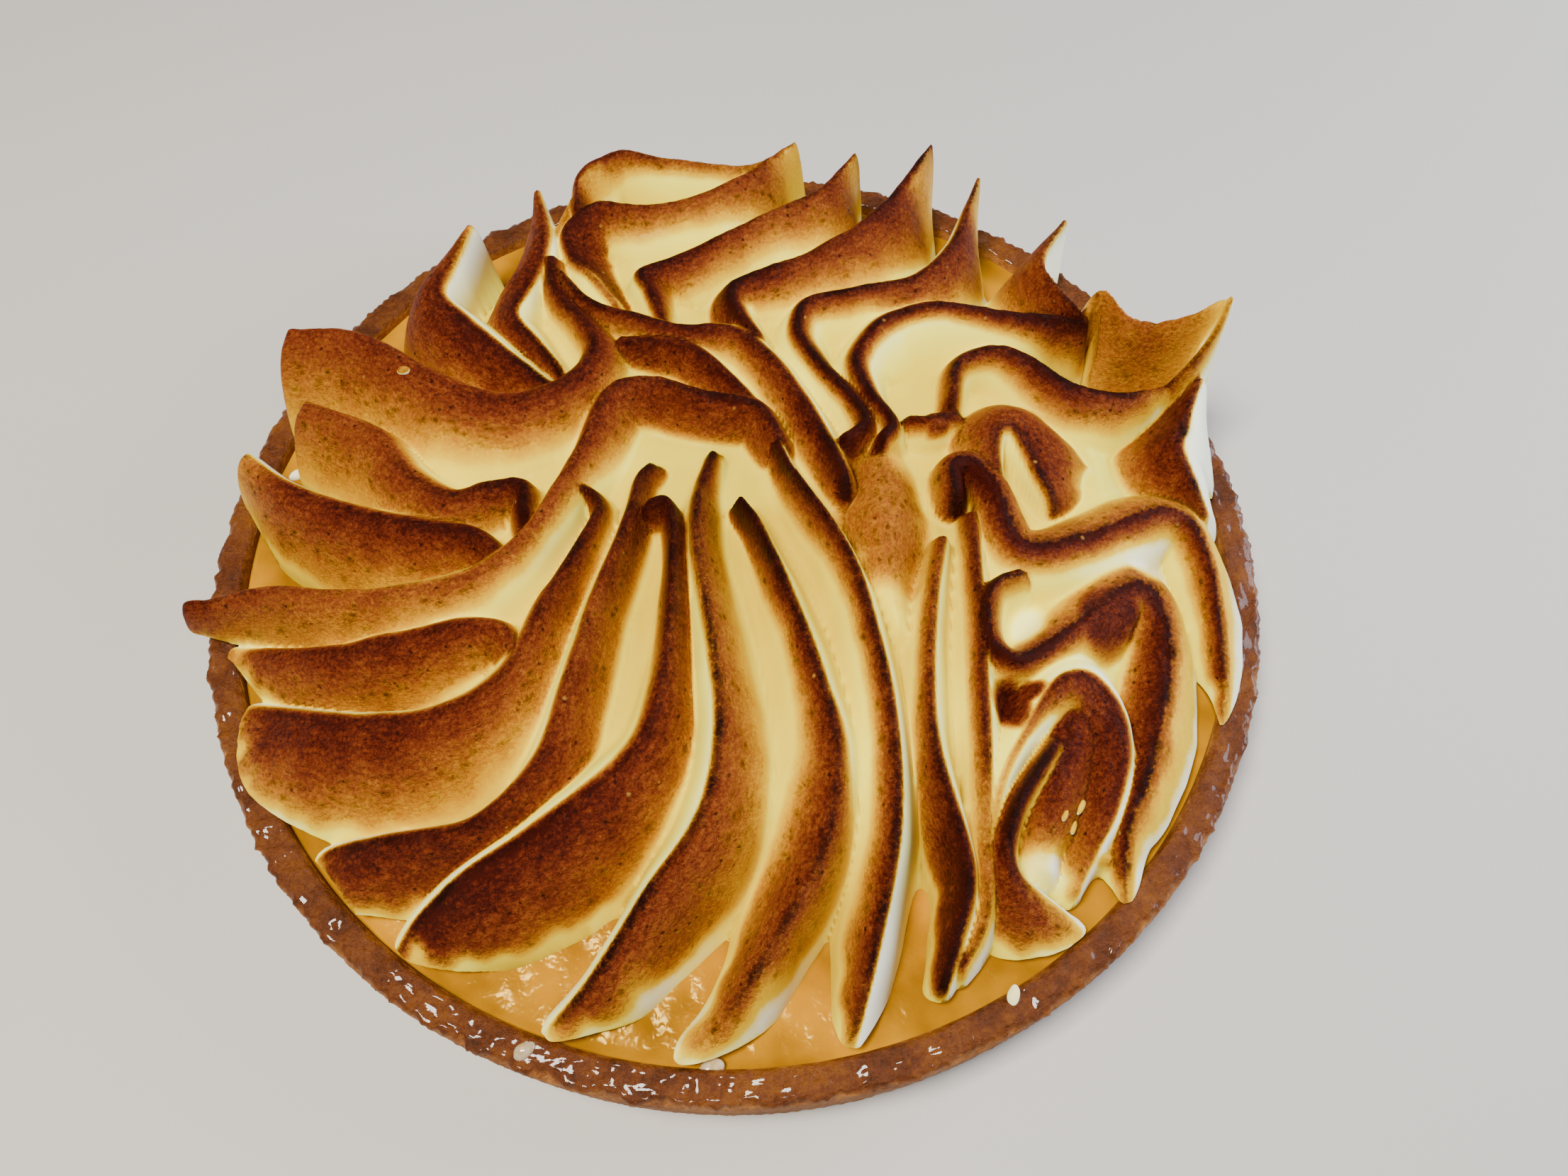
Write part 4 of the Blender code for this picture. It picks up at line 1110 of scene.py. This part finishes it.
@dataclass
class Curd:
    """The lemon curd: a disc that fills the crust, with a rippled skin.

    Attributes:
        radius: Radius of the disc.
        top: Level of its skin.
        bottom: Level of its underside.
        turns: Points round the disc.
        rings: Rings of points on the skin.
    """

    radius: float
    top: float
    bottom: float
    turns: int = 720
    rings: int = 90

    def build(self, finish: LemonCurd) -> bpy.types.Object:
        """The skin is flat with soft swells and climbs 0.5 mm at the pastry; below it is plain."""
        turn = np.linspace(0.0, 2.0 * math.pi, self.turns, endpoint=False)
        ring = np.linspace(50.0, self.radius, self.rings)
        r, t = np.meshgrid(ring, turn, indexing="ij")
        x, y = r * np.cos(t), r * np.sin(t)
        swells = 0.16 * swell(x, y, 14.0, 51) + 0.08 * swell(x, y, 5.0, 52)
        climb = 0.5 * ease((r - self.radius + 2.0) / 2.0) ** 2
        z = self.top + swells + climb
        low = np.stack([x[-1] * 0.995, y[-1] * 0.995, np.full(self.turns, self.bottom)], -1)
        points = np.vstack([np.stack([x, y, z], -1).reshape(-1, 3), low])
        sides = grid_faces(self.rings + 1, self.turns, True)[:, ::-1].tolist()
        first = list(range(self.turns))
        last = [self.rings * self.turns + i for i in first]
        mesh = make_mesh("curd_fill", points, sides + [first] + [last[::-1]])
        piece = make_piece("curd_fill", mesh)
        mesh.materials.append(finish.material())
        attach(piece, BODY)
        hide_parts("lemon_curd")
        LOG.info("curd: %d faces", len(mesh.polygons))
        return piece


@dataclass
class Drops:
    """Blobs of one stuff, joined into one piece.

    Attributes:
        name: Name of the piece.
        drops: The blobs.
        level: Function that gives the level of the surface below a place.
        turns: Points round a blob.
        rings: Rings of points from the foot to the top.
    """

    name: str
    drops: tuple
    level: Callable
    turns: int = 28
    rings: int = 12

    def blob(self, number: int, drop: Drop) -> tuple:
        """One blob: a superellipsoid cap on a short undercut, swollen by noise.

        Args:
            number: Number of the blob, which seeds its noise.
            drop: Its sizes.

        Returns:
            Points, faces and browning.
        """
        climb = np.linspace(-0.35, 1.0, self.rings, endpoint=False) * math.pi / 2.0
        angle = np.linspace(0.0, 2.0 * math.pi, self.turns, endpoint=False)
        out = np.cos(climb)[:, None] * np.ones(self.turns)
        x, y = out * np.cos(angle), out * np.sin(angle)
        up = np.sin(climb)[:, None] * np.ones(self.turns)
        bulge = 1.0 + 0.09 * swell(x, y, 2.0, 60 + number, up)
        x, y = x * bulge * drop.radii[0], y * bulge * drop.radii[1]
        turn = math.radians(drop.turn)
        points = np.stack([drop.place[0] + x * math.cos(turn) - y * math.sin(turn),
                           drop.place[1] + x * math.sin(turn) + y * math.cos(turn),
                           self.level(*drop.place) + up * bulge * drop.height], -1).reshape(-1, 3)
        top = np.array([[*drop.place, points[-self.turns:, 2].mean() + 0.02 * drop.height]])
        sides = grid_faces(self.rings, self.turns, True)[:, ::-1].tolist()
        sides = [face[::-1] for face in sides]
        ring = [(self.rings - 1) * self.turns + i for i in range(self.turns)]
        cap = [[a, b, len(points)] for a, b in zip(ring, ring[1:] + ring[:1])]
        foot = [list(range(self.turns))[::-1]]
        toast = np.append(drop.toast * ease(up.ravel() * 1.5), drop.toast)
        return np.vstack([points, top]), sides + cap + foot, toast

    def build(self, material: bpy.types.Material, slot: str) -> bpy.types.Object:
        """Join the blobs and dress them.

        Args:
            material: Finish of the piece.
            slot: Not used.

        Returns:
            The piece.
        """
        points, faces, toast, count = [], [], [], 0
        for number, drop in enumerate(self.drops):
            places, sides, tone = self.blob(number, drop)
            faces += [[count + i for i in face] for face in sides]
            count += len(places)
            points.append(places)
            toast.append(tone)
        mesh = make_mesh(self.name, np.vstack(points), faces)
        piece = make_piece(self.name, mesh)
        tone = np.concatenate(toast)
        paint(mesh, "toast", tone)
        paint(mesh, "char", np.zeros(count))
        paint(mesh, "hollow", np.full(count, 0.05))
        paint(mesh, "flow", np.vstack(points) * MM)
        mesh.materials.append(material)
        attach(piece, BODY)
        LOG.info("%s: %d blobs, %d faces", self.name, len(self.drops), len(mesh.polygons))
        return piece


# ---------------------------------------------------------------------------
# studio
# ---------------------------------------------------------------------------

@dataclass(frozen=True)
class Lamp:
    """A soft square lamp aimed at the pie.

    Attributes:
        name: Name of the lamp.
        place: Where it hangs, in metres.
        size: Side of its square, in metres.
        power: Power in watts.
        tint: Colour of its light.
    """

    name: str
    place: tuple
    size: float
    power: float
    tint: str


@dataclass
class Studio:
    """Camera, lamps and floor.

    Attributes:
        rim: Level of the rim in metres, from which the camera's height is counted.
        back: Distance of the camera in front of the pie's middle.
        rise: Height of the camera above the rim.
        pan: Turn of the view to the right, in degrees.
        tilt: Fall of the view, in degrees.
        roll: Lean of the picture, in degrees.
        lens: Focal length for a sensor 36 mm wide.
    """

    rim: float
    back: float = 0.1141
    rise: float = 0.1973
    pan: float = 4.57
    tilt: float = 62.06
    roll: float = 0.63
    lens: float = 27.03
    lamps: tuple = (
        Lamp("key", (-0.17, -0.12, 0.66), 0.16, 9.8, "#FFF8EC"),
        Lamp("side", (0.60, 0.12, 0.26), 0.40, 6.5, "#E4EDFF"),
    )

    def camera(self) -> None:
        """A camera that looks down on the pie from the front."""
        pan, tilt, roll = (math.radians(a) for a in (self.pan, self.tilt, self.roll))
        ahead = Vector((math.sin(pan) * math.cos(tilt), math.cos(pan) * math.cos(tilt), -math.sin(tilt)))
        right = ahead.cross(Vector((0.0, 0.0, 1.0))).normalized()
        up = right.cross(ahead)
        across = math.cos(roll) * right + math.sin(roll) * up
        upward = math.cos(roll) * up - math.sin(roll) * right
        data = bpy.data.cameras.new("camera")
        data.sensor_width = 36.0
        data.lens = self.lens
        data.clip_start = 0.01
        data.clip_end = 20.0
        camera = bpy.data.objects.new("camera", data)
        turn = Matrix((across, upward, -ahead)).transposed().to_4x4()
        camera.matrix_world = Matrix.Translation((0.0, -self.back, self.rim + self.rise)) @ turn
        bpy.context.scene.collection.objects.link(camera)
        bpy.context.scene.camera = camera

    def light(self) -> None:
        """Hang the lamps and set an even, pale surround."""
        for lamp in self.lamps:
            data = bpy.data.lights.new(lamp.name, "AREA")
            data.size = lamp.size
            data.energy = lamp.power
            data.color = linear(lamp.tint)[:3]
            light = bpy.data.objects.new(lamp.name, data)
            light.location = lamp.place
            light.rotation_euler = (-Vector(lamp.place)).to_track_quat("-Z", "Y").to_euler()
            bpy.context.scene.collection.objects.link(light)
        world = bpy.data.worlds.new("surround")
        world.use_nodes = True
        world.node_tree.nodes["Background"].inputs["Color"].default_value = linear("#F3EFEA")
        world.node_tree.nodes["Background"].inputs["Strength"].default_value = 0.28
        bpy.context.scene.world = world

    def floor(self, finish: PlainFloor) -> None:
        """A wide flat floor at the underside of the crust."""
        half = 1500.0
        corners = np.array([[-half, -half, 0.0], [half, -half, 0.0], [half, half, 0.0], [-half, half, 0.0]])
        mesh = make_mesh("floor", corners, [[0, 1, 2, 3]])
        floor = make_piece("floor", mesh)
        mesh.materials.append(finish.material())


def main() -> None:
    """Build the pie's pieces in order from the imported parts' boxes, then the studio."""
    logging.basicConfig(level=logging.INFO, format="%(message)s")
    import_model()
    low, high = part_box("crust")
    rim = high[2] / MM
    radius = (high[0] - low[0]) / 2.0 / MM
    curd_low, curd_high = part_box("lemon_curd")
    curd_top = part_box("meringue")[0][2] / MM - 0.3

    Crust(radius, rim).build(BakedPastry())
    Curd((curd_high[0] - curd_low[0]) / 2.0 / MM + 0.25, curd_top, curd_low[2] / MM).build(LemonCurd())
    meringue = Meringue(rim, curd_top)
    swirls = meringue.build(TorchedMeringue())
    Drops("meringue_spatter", SPATTER, meringue.surface_level).build(swirls.data.materials[0],
                                                                     "toasted_meringue")
    Drops("syrup_beads", BEADS, meringue.surface_level).build(SugarSyrup().material(), "toasted_meringue")
    studio = Studio(rim * MM)
    studio.camera()
    studio.light()
    studio.floor(PlainFloor())


if __name__ == "__main__":
    main()
